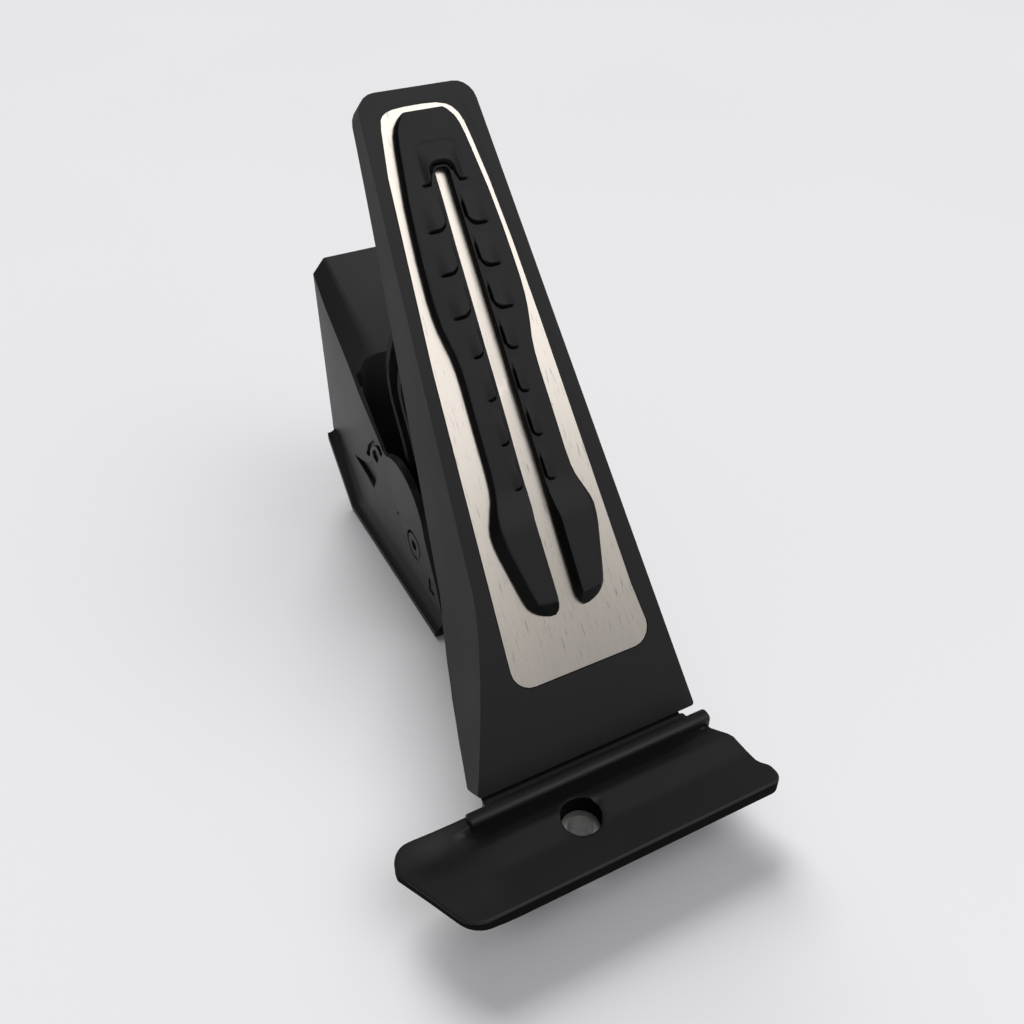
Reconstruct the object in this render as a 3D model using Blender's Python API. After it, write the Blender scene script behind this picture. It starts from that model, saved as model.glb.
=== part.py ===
"""Floor-hinged accelerator pedal module: tread, foot, housing, lever and inner mechanism.

The frame is the module's own: +X to the driver's right, +Y to the front of the car, +Z up.
The origin lies on the flat underside of the base, below the middle of the tread's hinge line.
All lengths are in metres.
"""
import math

import bmesh
import bpy
from mathutils import Matrix, Vector

# Clearances
seat_gap = 0.0003
run_gap = 0.0005

# Tread: angle, hinge line and outline
tread_angle = math.radians(52.0)
hinge_y = -0.0013
hinge_z = 0.02034
face_start = 0.00211
tread_low = -0.0013
tread_length = 0.1918
tread_half_top = 0.0174
tread_half_foot = 0.0301
tread_top_radius = 0.0060
tread_low_radius = 0.0010
flare_width = 0.0120
flare_length = tread_length * 0.271
flare_power = 1.4
tread_skin = 0.0030
tread_wall = 0.0022
skirt_foot = 0.0089
skirt_nose = ((-0.0100, 0.0038), (-0.0012, 0.0040), (-0.0007, 0.0066))
skirt_top = 0.0072
skirt_deepest = 0.0320
skirt_deepest_at = tread_length * 0.240
rib_depth = 0.0085
rib_thickness = 0.0016
rib_rows = 7
rib_ledge = 0.0006

# Steel inlay in the tread's face
inlay_thickness = 0.0010
inlay_low = 0.0221
inlay_border = 0.0046
inlay_high = tread_length - inlay_border
inlay_half_low = 0.0229
inlay_half_mid = 0.0187
inlay_mid = tread_length * 0.600
inlay_half_top = 0.0134
inlay_low_radius = 0.0060
inlay_top_radius = 0.0052
inlay_proud = -0.0001

# Rubber grip on the inlay: half widths along the tread, from the inlay's foot upwards
grip_thickness = 0.0024
grip_leg_rise = 0.0014
grip_chamfer = 0.0012
grip_leg_top = tread_length * 0.386
grip_widest = 0.0166
# Share of the tread's length, then share of the widest half width
grip_shares = (
    (0.2054, 0.373), (0.2112, 0.560), (0.2190, 0.675), (0.2310, 0.765), (0.2534, 0.819),
    (0.2956, 0.928), (0.3285, 1.000), (0.3545, 0.994), (0.3759, 0.904), (0.3989, 0.795),
    (0.4171, 0.771), (0.5474, 0.765), (0.5970, 0.771), (0.6257, 0.795), (0.6674, 0.849),
    (0.7299, 0.849), (0.7821, 0.825), (0.8373, 0.771), (0.9166, 0.645), (0.9437, 0.584),
    (0.9578, 0.482), (0.9645, 0.349),
)
slot_half = 0.0019
slot_half_low = 0.0029
slot_setback = 0.0233
slot_top = tread_length - slot_setback
slot_step_low = tread_length * 0.412
slot_step_high = tread_length * 0.485
tile_rise = 0.0006
tile_margin = 0.0036
tile_gap = 0.0020
tile_shares = (0.4588, 0.5005, 0.5448, 0.5892, 0.6387, 0.7039, 0.7690, 0.8342)
tile_slope = 0.0004

# Foot plate with hinge bead and bolt boss
foot_corners = (
    (-0.0712, -0.0039, 0.0068), (-0.0711, -0.0117, 0.0020), (-0.0600, -0.0336, 0.0080),
    (0.0374, -0.0344, 0.0036), (0.0370, -0.0283, 0.0026), (0.0346, -0.0254, 0.0020),
    (0.0336, -0.0153, 0.0025), (0.0290, -0.0086, 0.0010), (0.0250, -0.0050, 0.0),
    (0.0250, -0.0020, 0.0003), (-0.0420, -0.0020, 0.0003), (-0.0420, -0.0050, 0.0),
)
foot_edge = 0.0043
foot_rear_top = 0.0226
foot_band_top = 0.0209
foot_front_top = 0.0201
foot_web_top = 0.0219
foot_step_start = -0.0094
foot_step_end = -0.0136
foot_band_end = -0.0236
foot_front = -0.0344
foot_draft = 0.0006
foot_web_start = -0.0052
bead_left = -0.0484
bead_right = 0.0300
bead_middle = -0.0068
bead_half = 0.0022
bead_top = 0.0241
foot_web_rear = -0.0020
web_left = -0.0412
web_right = 0.0242
web_thickness = 0.0006
bolt_x = -0.0196
bolt_y = -0.0180
bolt_hole = 0.0058
boss_wall = 0.0022
sleeve_top_depth = 0.0060
sleeve_length = 0.0058
sleeve_bore = 0.0037

# Base arm from the housing to the foot
arm_height = 0.0110
arm_front = -0.0105
arm_pocket_wall = 0.0025
arm_pad_height = 0.0052
foot_screw_y = -0.0068
foot_screw_pitch = 0.0150
foot_screw_radius = 0.0017
foot_screw_seat = 0.0052
foot_screw_head = 0.0033
foot_screw_head_height = 0.0029
foot_screw_bite = 0.0034

# Lever axle, which the housing and the sensor are set out from
axle_y = 0.1033
axle_z = 0.0233

# Housing: side profile, walls and flange
wall = 0.0025
housing_half = 0.0160
dome_run = 0.0102
dome_rise = 0.0077
dome_y = axle_y + dome_run
dome_z = axle_z + dome_rise
dome_radius = 0.0205
dome_front_angle = math.radians(172.0)
front_run = 0.0325
base_front = dome_y - front_run
front_knee_run = 0.0036
front_knee_y = base_front + front_knee_run
front_knee_z = 0.0170
tower_run = 0.0713
rear_y = dome_y + tower_run
rear_foot_run = 0.0238
base_knee = rear_y - rear_foot_run
rear_foot_z = 0.0240
roof_over_dome = 0.0457
roof_slope = 0.801
tower_top = dome_z + dome_radius + roof_over_dome
roof_chamfer = 0.0046
# Share of the roof from the dome to the rear wall, then the bevel's width and drop
roof_bevels = ((-0.004, 0.0090, -0.0003), (0.086, 0.0088, 0.0021), (0.534, 0.0080, 0.0047),
               (1.060, 0.0042, 0.0048))
side_wall = 0.0027
chamber_half = housing_half - side_wall
tower_thickness = 0.0314
chamber_rear = rear_y - tower_thickness
chamber_corner = 0.0034
mouth_wall = 0.0012
mouth_half = housing_half - mouth_wall
mouth_depth = 0.0050
arm_inset = 0.0030
arm_half = housing_half - arm_inset
chamber_floor = 0.0028
front_wall_top = 0.0285
flange_width = 0.0035
flange_thickness = 0.0022
flange_run = 0.0010
flange_front = base_front - flange_run
core_inset = 0.0030

# Marks on the left wall, as (y, z) from the middle of the dome
arch_outer = ((0.0322, 0.0049), (0.0292, 0.0108), (0.0241, 0.0160), (0.0193, 0.0186),
              (0.0163, 0.0182), (0.0138, 0.0164))
arch_inner = ((0.0162, 0.0136), (0.0180, 0.0149), (0.0202, 0.0156), (0.0236, 0.0139),
              (0.0268, 0.0105), (0.0284, 0.0059))
arch_slot = ((0.0249, 0.0104), (0.0228, 0.0131), (0.0206, 0.0134), (0.0186, 0.0114),
             (0.0211, 0.0076), (0.0244, 0.0085))
wall_gap = ((0.0471, -0.0047), (0.0338, -0.0012), (0.0284, 0.0038), (0.0232, 0.0062),
            (0.0238, 0.0006), (0.0275, -0.0075), (0.0330, -0.0050))
wall_mark_depth = 0.0010
dot_y = 0.0034
dot_z = -0.0029
dot_radius = 0.0008
window_y = -0.0239
window_z = -0.0167
window_width = 0.0042
window_height = 0.0062

# Lever: axle, hub, arm and slide shoe
axle_radius = 0.0030
hub_radius = 0.0056
hub_side_gap = 0.0006
hub_half = chamber_half - hub_side_gap
cheek_radius = 0.0098
cheek_step = 0.0007
cheek_half = hub_half - cheek_step
cheek_thickness = 0.0026
arm_start = Vector((0.0010, 0.0045))
# Shares of the way from the axle to the tip, along it and across it
arm_rise = Vector((0.6260, 0.0818))
arm_bend = Vector((0.3204, 0.4561))
arm_half_thickness = 0.0062
arm_web = 0.0032
arm_flange = 0.0028
arm_rib_count = 5
tip_along = tread_length * 0.7195
tip_depth = 0.0130
shoe_radius = 0.0045
tip_radius = 0.0028
shoe_half = cheek_half * 0.65
track_half = 0.0092
track_end = 0.0070
track_travel = tread_length * 0.157
bush_radius = 0.0042
bush_length = 0.0050
spigot_radius = 0.0040
spigot_reach = 0.0034
wall_bush_radius = 0.0058
magnet_radius = 0.0060
magnet_thickness = 0.0022

# Return springs, friction shoe and buffer
spring_mean = 0.0076
spring_wire = 0.00065
spring_turns = 3
spring_leg_angle = math.radians(36.0)
spring_end_angle = math.radians(-20.0)
spring_leg = 0.0155
spring_start = 0.0011
spring_side_gap = 0.0005
brake_inner_gap = 0.0003
brake_depth = 0.0060
brake_angle = math.radians(-21.0)
brake_half_angle = math.radians(25.0)
brake_side_gap = 0.0023
brake_half = chamber_half - brake_side_gap
brake_spring_mean = 0.0032
brake_spring_wire = 0.0005
brake_spring_turns = 7.0
buffer_thickness = 0.0040
buffer_height = 0.0060
buffer_half = chamber_half * 0.45
buffer_station = 3
tab_run = 0.0197
tab_foot_y = dome_y - tab_run

# Pivot cap on the left wall
cap_radius = 0.0072
cap_depth = 0.0017
cap_socket = 0.0022
cap_socket_depth = 0.0010

# Sensor chamber, cover and connector on the right
sensor_depth = 0.0095
sensor_low = 0.0040
sensor_high = 0.0450
sensor_front_run = 0.0133
sensor_rear_run = 0.0407
sensor_front = axle_y - sensor_front_run
sensor_rear = axle_y + sensor_rear_run
sensor_corner = 0.0050
sensor_wall = 0.0022
lug_radius = 0.0038
lug_inset = 0.0012
cover_thickness = 0.0022
cover_gap = 0.0003
screw_radius = 0.0014
screw_head = 0.0028
screw_head_height = 0.0018
screw_length = 0.0085
seal_width = 0.0010
seal_thickness = 0.0008
board_thickness = 0.0012
board_margin = 0.0012
socket_run = 0.0257
socket_y = axle_y + socket_run
socket_z = 0.0245
socket_width = 0.0210
socket_height = 0.0125
socket_depth = 0.0130
socket_wall = 0.0015
pin_size = 0.0008
pin_pitch = 0.0036
pin_row_pitch = 0.0044
pin_length = 0.0160

arc_steps = 8


def clear_scene():
    for item in list(bpy.data.objects):
        bpy.data.objects.remove(item)


def make_material(name, color, roughness, metallic=0.0):
    material = bpy.data.materials.new(name)
    material.use_nodes = True
    shader = material.node_tree.nodes["Principled BSDF"]
    shader.inputs["Base Color"].default_value = (*color, 1.0)
    shader.inputs["Roughness"].default_value = roughness
    shader.inputs["Metallic"].default_value = metallic
    return material


def make_materials():
    return {
        "black_nylon": make_material("black_nylon", (0.020, 0.020, 0.022), 0.55),
        "inner_plastic": make_material("inner_plastic", (0.035, 0.036, 0.040), 0.45),
        "natural_plastic": make_material("natural_plastic", (0.70, 0.68, 0.60), 0.40),
        "brushed_steel": make_material("brushed_steel", (0.66, 0.63, 0.59), 0.32, 1.0),
        "bright_steel": make_material("bright_steel", (0.70, 0.70, 0.70), 0.25, 1.0),
        "spring_steel": make_material("spring_steel", (0.42, 0.43, 0.46), 0.30, 1.0),
        "black_rubber": make_material("black_rubber", (0.015, 0.015, 0.016), 0.75),
        "circuit_board": make_material("circuit_board", (0.020, 0.140, 0.060), 0.50),
        "magnet": make_material("magnet", (0.090, 0.090, 0.100), 0.40, 0.6),
        "pin_brass": make_material("pin_brass", (0.76, 0.60, 0.30), 0.30, 1.0),
    }


def make_pivot(name, location, rotation=(0.0, 0.0, 0.0)):
    pivot = bpy.data.objects.new(name, None)
    pivot.location = location
    pivot.rotation_euler = rotation
    bpy.context.scene.collection.objects.link(pivot)
    return pivot


def make_object(name, shape, material=None, parent=None, smooth_angle=40.0):
    """Turn a bmesh into an object whose faces point out."""
    bmesh.ops.recalc_face_normals(shape, faces=shape.faces)
    mesh = bpy.data.meshes.new(name)
    shape.to_mesh(mesh)
    shape.free()
    mesh.shade_smooth()
    mesh.set_sharp_from_angle(angle=math.radians(smooth_angle))
    item = bpy.data.objects.new(name, mesh)
    bpy.context.scene.collection.objects.link(item)
    if material:
        mesh.materials.append(material)
    if parent:
        item.parent = parent
    return item


def arc(center, radius, start, end, steps=arc_steps):
    """Points on an arc from one angle to the other, both ends included."""
    return [
        Vector((center[0] + radius * math.cos(start + (end - start) * step / steps),
                center[1] + radius * math.sin(start + (end - start) * step / steps)))
        for step in range(steps + 1)
    ]


def circle(center, radius, steps=24):
    return arc(center, radius, 0.0, 2.0 * math.pi * (steps - 1) / steps, steps - 1)


def rounded(corners, steps=4):
    """A closed outline from (x, y, radius) corners, each one rounded by its own radius."""
    outline = []
    for index, (x, y, radius) in enumerate(corners):
        here = Vector((x, y))
        if radius <= 0.0:
            outline.append(here)
            continue
        before = (Vector(corners[index - 1][:2]) - here).normalized()
        after = (Vector(corners[(index + 1) % len(corners)][:2]) - here).normalized()
        half = before.angle(after) / 2.0
        center = here + (before + after).normalized() * (radius / math.sin(half))
        first = here + before * (radius / math.tan(half)) - center
        last = here + after * (radius / math.tan(half)) - center
        turn = first.angle_signed(last)
        for step in range(steps + 1):
            outline.append(center + rotated(first, -turn * step / steps))
    return outline


def rotated(point, angle):
    return Vector((point.x * math.cos(angle) - point.y * math.sin(angle),
                   point.x * math.sin(angle) + point.y * math.cos(angle)))


def box_outline(low_x, low_y, high_x, high_y, radius=0.0):
    return rounded([(low_x, low_y, radius), (high_x, low_y, radius),
                    (high_x, high_y, radius), (low_x, high_y, radius)])


def loft(rings, shape=None, closed=False):
    """Skin a row of rings with the same number of points; the ends are capped unless closed."""
    shape = shape or bmesh.new()
    rows = [[shape.verts.new(point) for point in ring] for ring in rings]
    count = len(rows[0])
    pairs = list(zip(rows, rows[1:]))
    if closed:
        pairs.append((rows[-1], rows[0]))
    for lower, upper in pairs:
        for index in range(count):
            follow = (index + 1) % count
            shape.faces.new((lower[index], lower[follow], upper[follow], upper[index]))
    if not closed:
        shape.faces.new(reversed(rows[0]))
        shape.faces.new(rows[-1])
    return shape


def upright(outline, low, high, shape=None):
    """A prism of an XY outline from one height to another."""
    return loft([[Vector((p.x, p.y, z)) for p in outline] for z in (low, high)], shape)


def slab(outline, low, high, shape=None):
    """A prism of a YZ outline from one X to another."""
    return loft([[Vector((x, p.x, p.y)) for p in outline] for x in (low, high)], shape)


def tube(outer, inner, low, high, axis="X", steps=24, shape=None):
    """A ring-shaped solid on the origin's X or Z axis."""
    rings = []
    for radius, place in ((inner, low), (outer, low), (outer, high), (inner, high)):
        ring = circle((0.0, 0.0), radius, steps)
        if axis == "X":
            rings.append([Vector((place, p.x, p.y)) for p in ring])
        else:
            rings.append([Vector((p.x, p.y, place)) for p in ring])
    return loft(rings, shape, closed=True)


def moved(shape, x=0.0, y=0.0, z=0.0):
    bmesh.ops.translate(shape, verts=shape.verts, vec=(x, y, z))
    return shape


def combine(item, shape, operation):
    """Apply one Boolean to an object with a bmesh as the other operand."""
    tool = make_object(item.name + "_tool", shape)
    tool.parent = item.parent
    modifier = item.modifiers.new("combine", "BOOLEAN")
    modifier.object = tool
    modifier.operation = operation
    modifier.solver = "EXACT"
    bpy.context.view_layer.update()
    depsgraph = bpy.context.evaluated_depsgraph_get()
    mesh = bpy.data.meshes.new_from_object(item.evaluated_get(depsgraph))
    item.modifiers.clear()
    item.data = mesh
    bpy.data.objects.remove(tool)


def cut(item, shape):
    combine(item, shape, "DIFFERENCE")


def weld(item, shape):
    combine(item, shape, "UNION")


def finish(item, smooth_angle=40.0):
    """Shade a cut object again and drop faces without area."""
    shape = bmesh.new()
    shape.from_mesh(item.data)
    bmesh.ops.dissolve_degenerate(shape, edges=shape.edges, dist=1e-6)
    shape.to_mesh(item.data)
    shape.free()
    item.data.shade_smooth()
    item.data.set_sharp_from_angle(angle=math.radians(smooth_angle))
    return item


def tread_place(along, above):
    """World (y, z) of a point on the tread, from its distance up the face and above it."""
    reach = face_start + along
    return Vector((hinge_y + reach * math.cos(tread_angle) - above * math.sin(tread_angle),
                   hinge_z + reach * math.sin(tread_angle) + above * math.cos(tread_angle)))


def tread_half(along):
    share = along / tread_length
    return tread_half_foot + (tread_half_top - tread_half_foot) * share


def tread_flare(along):
    if along >= flare_length:
        return 0.0
    return flare_width * (1.0 - along / flare_length) ** flare_power


def tread_outline(margin):
    """The tread's plan, moved inwards by a margin; only the left side flares at the foot."""
    low = tread_low + margin
    high = tread_length - margin
    top = max(tread_top_radius - margin, 0.0005)
    foot = max(tread_low_radius - margin, 0.0005)
    flare_steps = 9
    left = []
    for step in range(1, flare_steps + 1):
        along = flare_length * (1.0 - step / (flare_steps + 1.0))
        left.append((-(tread_half(along) + tread_flare(along) - margin), along, 0.0))
    corners = [
        (tread_half(low) - margin, low, foot),
        (tread_half(high) - margin, high, top),
        (-(tread_half(high) - margin), high, top),
        (-(tread_half(flare_length) - margin), flare_length, 0.0),
    ]
    corners += left
    corners.append((-(tread_half(low) + tread_flare(low) - margin), low, foot))
    return rounded(corners, 5)


def skirt_depth(along):
    """Depth of the side wall: deepest near the foot, shallow at both ends."""
    along = min(max(along, 0.0), tread_length)
    if along < skirt_deepest_at:
        share = 1.0 - (1.0 - along / skirt_deepest_at) ** 1.86
        return skirt_foot + (skirt_deepest - skirt_foot) * share
    share = ((tread_length - along) / (tread_length - skirt_deepest_at)) ** 1.15
    return skirt_top + (skirt_deepest - skirt_top) * share


def inlay_outline(margin):
    high = inlay_high + margin
    low = inlay_low - margin
    corners = [
        (inlay_half_low + margin, low, inlay_low_radius + margin),
        (inlay_half_mid + margin, inlay_mid, 0.0),
        (inlay_half_top + margin, high, inlay_top_radius + margin),
        (-inlay_half_top - margin, high, inlay_top_radius + margin),
        (-inlay_half_mid - margin, inlay_mid, 0.0),
        (-inlay_half_low - margin, low, inlay_low_radius + margin),
    ]
    return rounded(corners, 5)


def on_tread(shape):
    return moved(shape, y=face_start)


def track_span():
    """Start and end of the slide track along the tread."""
    return (tip_along - shoe_radius - track_end, tip_along + track_travel + shoe_radius)


def rib_cells():
    """Pockets between the ribs under the tread's skin, as one cutter with separate cells."""
    shape = bmesh.new()
    side = tread_wall + rib_ledge
    pitch = (tread_length - 2.0 * side) / rib_rows
    edges = [side + row * pitch for row in range(rib_rows + 1)]
    half_rib = rib_thickness / 2.0
    rail = track_half + rib_thickness
    cells = []
    for row, (start, end) in enumerate(zip(edges, edges[1:])):
        a0 = start + (half_rib if row else 0.0)
        a1 = end - (half_rib if row < rib_rows - 1 else 0.0)
        right0, right1 = tread_half(a0) - side, tread_half(a1) - side
        left0, left1 = right0 + tread_flare(a0), right1 + tread_flare(a1)
        if right1 - rail > rib_thickness:
            cells.append([(rail, a0), (right0, a0), (right1, a1), (rail, a1)])
            cells.append([(-left0, a0), (-rail, a0), (-rail, a1), (-left1, a1)])
    # The middle column holds the slide track in a long pocket of its own
    low, high = track_span()
    stops = [edge for edge in edges if edge < low - 2.0 * rib_thickness] + [low - half_rib]
    spans = [(a + half_rib, b - half_rib) for a, b in zip(stops, stops[1:])]
    spans.append((low - seat_gap, high + seat_gap))
    spans.append((high + rib_thickness, edges[-1]))
    for a0, a1 in spans:
        cells.append([(-track_half, a0), (track_half, a0), (track_half, a1), (-track_half, a1)])
    for cell in cells:
        upright([Vector(p) for p in cell], -rib_depth - seat_gap, -tread_skin, shape)
    return shape


def below_skirt():
    """Everything under the side walls' curved lower edge, as one prism across the tread."""
    steps = 18
    high = tread_length + 0.010
    floor = -skirt_deepest - 0.012
    across = 2.0 * (tread_half_foot + flare_width)
    edge = [Vector((along, -depth)) for along, depth in skirt_nose]
    low = edge[0].x
    for step in range(steps + 1):
        along = -0.0002 + (tread_length + 0.0002) * step / steps
        edge.append(Vector((along, -skirt_depth(along))))
    edge.append(Vector((high, -skirt_top)))
    edge += [Vector((high, floor)), Vector((low, floor))]
    return slab(edge, -across, across)


def make_tread(materials, pivot):
    shape = upright(tread_outline(0.0), -skirt_deepest - 0.004, 0.0)
    tread = make_object("pedal_plate", on_tread(shape), materials["black_nylon"], pivot)
    cut(tread, on_tread(below_skirt()))
    hollow = upright(tread_outline(tread_wall), -2.0 * skirt_deepest, -rib_depth)
    cut(tread, on_tread(hollow))
    cut(tread, on_tread(rib_cells()))
    pocket_floor = inlay_proud - inlay_thickness - seat_gap
    pocket = upright(inlay_outline(seat_gap), pocket_floor, 0.002)
    cut(tread, on_tread(pocket))
    return finish(tread)


def make_inlay(materials, pivot):
    shape = upright(inlay_outline(0.0), inlay_proud - inlay_thickness, inlay_proud)
    return make_object("steel_inlay", on_tread(shape), materials["brushed_steel"], pivot)


def grip_profile():
    return [(share * tread_length, width * grip_widest) for share, width in grip_shares]


def tile_spans():
    """Start and end of each row of tread tiles along the grip."""
    ends = [share * tread_length for share in tile_shares]
    return [(start, end - tile_gap) for start, end in zip(ends, ends[1:])]


def grip_half(along):
    profile = grip_profile()
    for (a0, h0), (a1, h1) in zip(profile, profile[1:]):
        if a0 <= along <= a1:
            return h0 + (h1 - h0) * (along - a0) / (a1 - a0)
    return profile[-1][1]


def grip_height(along):
    """Height of the grip's top: the two leg ends are thicker, with a sloping shoulder."""
    profile = grip_profile()
    ramp = 0.0030
    share = min(max((grip_leg_top - along) / ramp, 0.0), 1.0)
    end_share = min((along - profile[0][0]) / ramp, 1.0)
    top_share = min((profile[-1][0] - along) / ramp, 1.0)
    height = grip_thickness + grip_leg_rise * share
    return height - grip_chamfer * (1.0 - min(end_share, top_share, 1.0))


def tile_height(along):
    """Rise of the tread tiles: each one climbs to its foot-side edge and then drops."""
    for start, end in tile_spans():
        if start <= along <= end:
            return tile_rise * (1.0 - 0.6 * (along - start) / (end - start + tile_gap))
    return 0.0


def grip_stations():
    places = {round(along, 6) for along, _ in grip_profile()}
    places |= {round(grip_leg_top - 0.0030, 6), round(grip_leg_top, 6)}
    for start, end in tile_spans():
        places |= {round(v, 6) for v in (start - tile_slope, start, end, end + tile_slope)}
    return sorted(places)


def make_grip(materials, pivot):
    base = inlay_proud + seat_gap
    rings = []
    for along in grip_stations():
        half = grip_half(along)
        top = base + grip_height(along)
        shoulder = base + 0.45 * grip_height(along)
        inner = max(half - grip_chamfer, 0.002)
        tile_edge = max(half - tile_margin, 0.0015)
        tile_top = top + tile_height(along)
        side = [(half, base), (half, shoulder), (inner, top), (tile_edge, top),
                (tile_edge - tile_slope, tile_top)]
        profile = side + [(-x, z) for x, z in reversed(side)]
        rings.append([Vector((x, along, z)) for x, z in profile])
    grip = make_object("rubber_grip", on_tread(loft(rings)), materials["black_rubber"], pivot)
    low = grip_profile()[0][0] - 0.002
    slot = [Vector((slot_half_low, low)), Vector((slot_half_low, slot_step_low)),
            Vector((slot_half, slot_step_high))]
    slot += arc((0.0, slot_top - slot_half), slot_half, 0.0, math.pi)
    slot += [Vector((-slot_half, slot_step_high)), Vector((-slot_half_low, slot_step_low)),
             Vector((-slot_half_low, low))]
    cut(grip, on_tread(upright(slot, base - 0.002, base + 0.01)))
    return finish(grip)


def make_track(materials, pivot):
    low, high = track_span()
    top = -tread_skin - seat_gap
    bottom = -(tip_depth - shoe_radius) + seat_gap
    half = track_half - seat_gap
    outline = box_outline(-half, low, half, high, 0.0015)
    track = make_object("guide_track", on_tread(upright(outline, bottom, top)),
                        materials["natural_plastic"], pivot)
    return track


def eased(share):
    share = min(max(share, 0.0), 1.0)
    return share * share * (3.0 - 2.0 * share)


def foot_top(y):
    """Height of the foot plate's top along Y: step down from the bead, flat band, soft fall."""
    if y > foot_web_start:
        return foot_web_top
    if y > foot_band_end:
        share = eased((foot_step_start - y) / (foot_step_start - foot_step_end))
        return foot_rear_top + (foot_band_top - foot_rear_top) * share
    share = (foot_band_end - y) / (foot_band_end - foot_front)
    return foot_band_top + (foot_front_top - foot_band_top) * share ** 1.5


def foot_outline(margin):
    """Plan of the foot plate; the margin moves its front and its two ends inwards."""
    middle = sum(x for x, _, _ in foot_corners) / len(foot_corners)
    corners = []
    for x, y, radius in foot_corners:
        inside_y = y + margin if y < foot_band_end else y
        corners.append((x - math.copysign(margin, x - middle), inside_y, radius))
    return rounded(corners, 5)


def make_foot(materials):
    bottom = foot_front_top - foot_edge
    sky_top = bead_top + 0.006
    lip = bottom + foot_draft
    shape = loft([[Vector((p.x, p.y, z)) for p in foot_outline(margin)]
                  for z, margin in ((bottom, foot_draft), (lip, 0.0), (sky_top, foot_draft))])
    foot = make_object("foot_plate", shape, materials["black_nylon"])
    # Everything above the plate's profile is taken off in one cut along X
    steps = 7
    stations = [0.02, foot_web_start, foot_web_start - 0.0006]
    stations += [foot_step_start + (foot_step_end - foot_step_start) * s / steps
                 for s in range(steps + 1)]
    stations += [foot_band_end + (foot_front - foot_band_end) * s / steps
                 for s in range(steps + 1)]
    sky = [Vector((y, foot_top(y))) for y in stations]
    beyond = foot_front - 0.01
    sky += [Vector((beyond, foot_front_top)), Vector((beyond, sky_top + 0.01)),
            Vector((stations[0], sky_top + 0.01))]
    left = min(x for x, _, _ in foot_corners) - 0.01
    right = max(x for x, _, _ in foot_corners) + 0.01
    cut(foot, slab(sky, left, right))
    # Hinge bead: a raised half-round bar whose ends stand free of the tread
    bead_low = bottom + 0.0012
    bead = [Vector((bead_middle - bead_half, bead_low)), Vector((bead_middle + bead_half, bead_low))]
    crest = bead_top - bead_half * 0.8
    bead += [Vector((bead_middle + bead_half * math.cos(a), crest + 0.8 * bead_half * math.sin(a)))
             for a in (math.pi * step / 10 for step in range(11))]
    weld(foot, slab(bead, bead_left, bead_right))
    # Boss round the bolt hole
    boss_low = foot_band_top - sleeve_top_depth - sleeve_length - seat_gap
    boss_radius = bolt_hole + boss_wall
    boss = upright(circle((bolt_x, bolt_y), boss_radius, 32), boss_low, bottom + 0.001)
    weld(foot, boss)
    cut(foot, upright(circle((bolt_x, bolt_y), bolt_hole, 32), boss_low - 0.001, sky_top))
    for side in (-1, 1):
        hole = circle((side * foot_screw_pitch / 2.0, foot_screw_y),
                      foot_screw_radius + seat_gap, 16)
        cut(foot, upright(hole, bottom - 0.001, bottom + foot_screw_bite))
    return finish(foot, 30.0)


def make_film_hinge(materials):
    """Thin bending web between the bead and the tread's foot edge."""
    rear = tread_place(tread_low, 0.0).x - seat_gap
    front = foot_web_rear + seat_gap
    top = hinge_z + web_thickness / 2.0
    outline = [Vector((front, top - web_thickness)), Vector((rear, top - web_thickness)),
               Vector((rear, top)), Vector((front, top))]
    return make_object("film_hinge", slab(outline, web_left, web_right),
                       materials["black_nylon"])


def make_foot_sleeve(materials):
    top = foot_band_top - sleeve_top_depth
    shape = tube(bolt_hole - seat_gap, sleeve_bore, top - sleeve_length, top, "Z", 32)
    return make_object("foot_sleeve", moved(shape, bolt_x, bolt_y), materials["bright_steel"])


def roof_meets_dome(top, slope):
    """Angle on the dome's circle where a roof line from the rear wall runs into it."""
    drop = top - slope * (rear_y - dome_y) - dome_z
    a = 1.0 + slope ** 2
    b = slope * drop
    c = drop * drop - dome_radius ** 2
    run = (-b + math.sqrt(b * b - a * c)) / a
    return math.atan2(slope * run + drop, run)


def housing_profile(top, slope):
    """Side outline of the housing, counter-clockwise from the front edge of the base."""
    points = [Vector((base_front, 0.0)), Vector((base_knee, 0.0)),
              Vector((rear_y, rear_foot_z)), Vector((rear_y, top))]
    points += arc((dome_y, dome_z), dome_radius, roof_meets_dome(top, slope), dome_front_angle, 14)
    points.append(Vector((front_knee_y, front_knee_z)))
    points.append(Vector((base_front, 0.0060)))
    return points


def roof_height(y):
    return tower_top - roof_slope * (rear_y - y)


def roof_bevel(side):
    """Wedge that takes the roof's edge off on one side; it runs out where the dome begins."""
    start = dome_y + dome_radius * math.cos(roof_meets_dome(tower_top, roof_slope))
    beyond = 0.006
    rows = []
    for share, width, drop in roof_bevels:
        y = start + (rear_y - start) * share
        roof = roof_height(y)
        low = roof - drop * (width + beyond) / width
        ring = [(housing_half - width, roof), (housing_half + beyond, low),
                (housing_half + beyond, roof + 0.02), (housing_half - width, roof + 0.02)]
        rows.append([Vector((side * x, y, z)) for x, z in ring])
    shape = loft(rows)
    bmesh.ops.triangulate(shape, faces=shape.faces)
    return shape


def flange_profile():
    thick = flange_thickness
    rise = math.atan2(rear_foot_z, rear_y - base_knee)
    knee_shift = thick * math.tan(rise / 2.0)
    return [Vector((flange_front, 0.0)), Vector((base_knee, 0.0)), Vector((rear_y, rear_foot_z)),
            Vector((rear_y, rear_foot_z + thick / math.cos(rise))),
            Vector((base_knee - knee_shift, thick)), Vector((flange_front, thick))]


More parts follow.
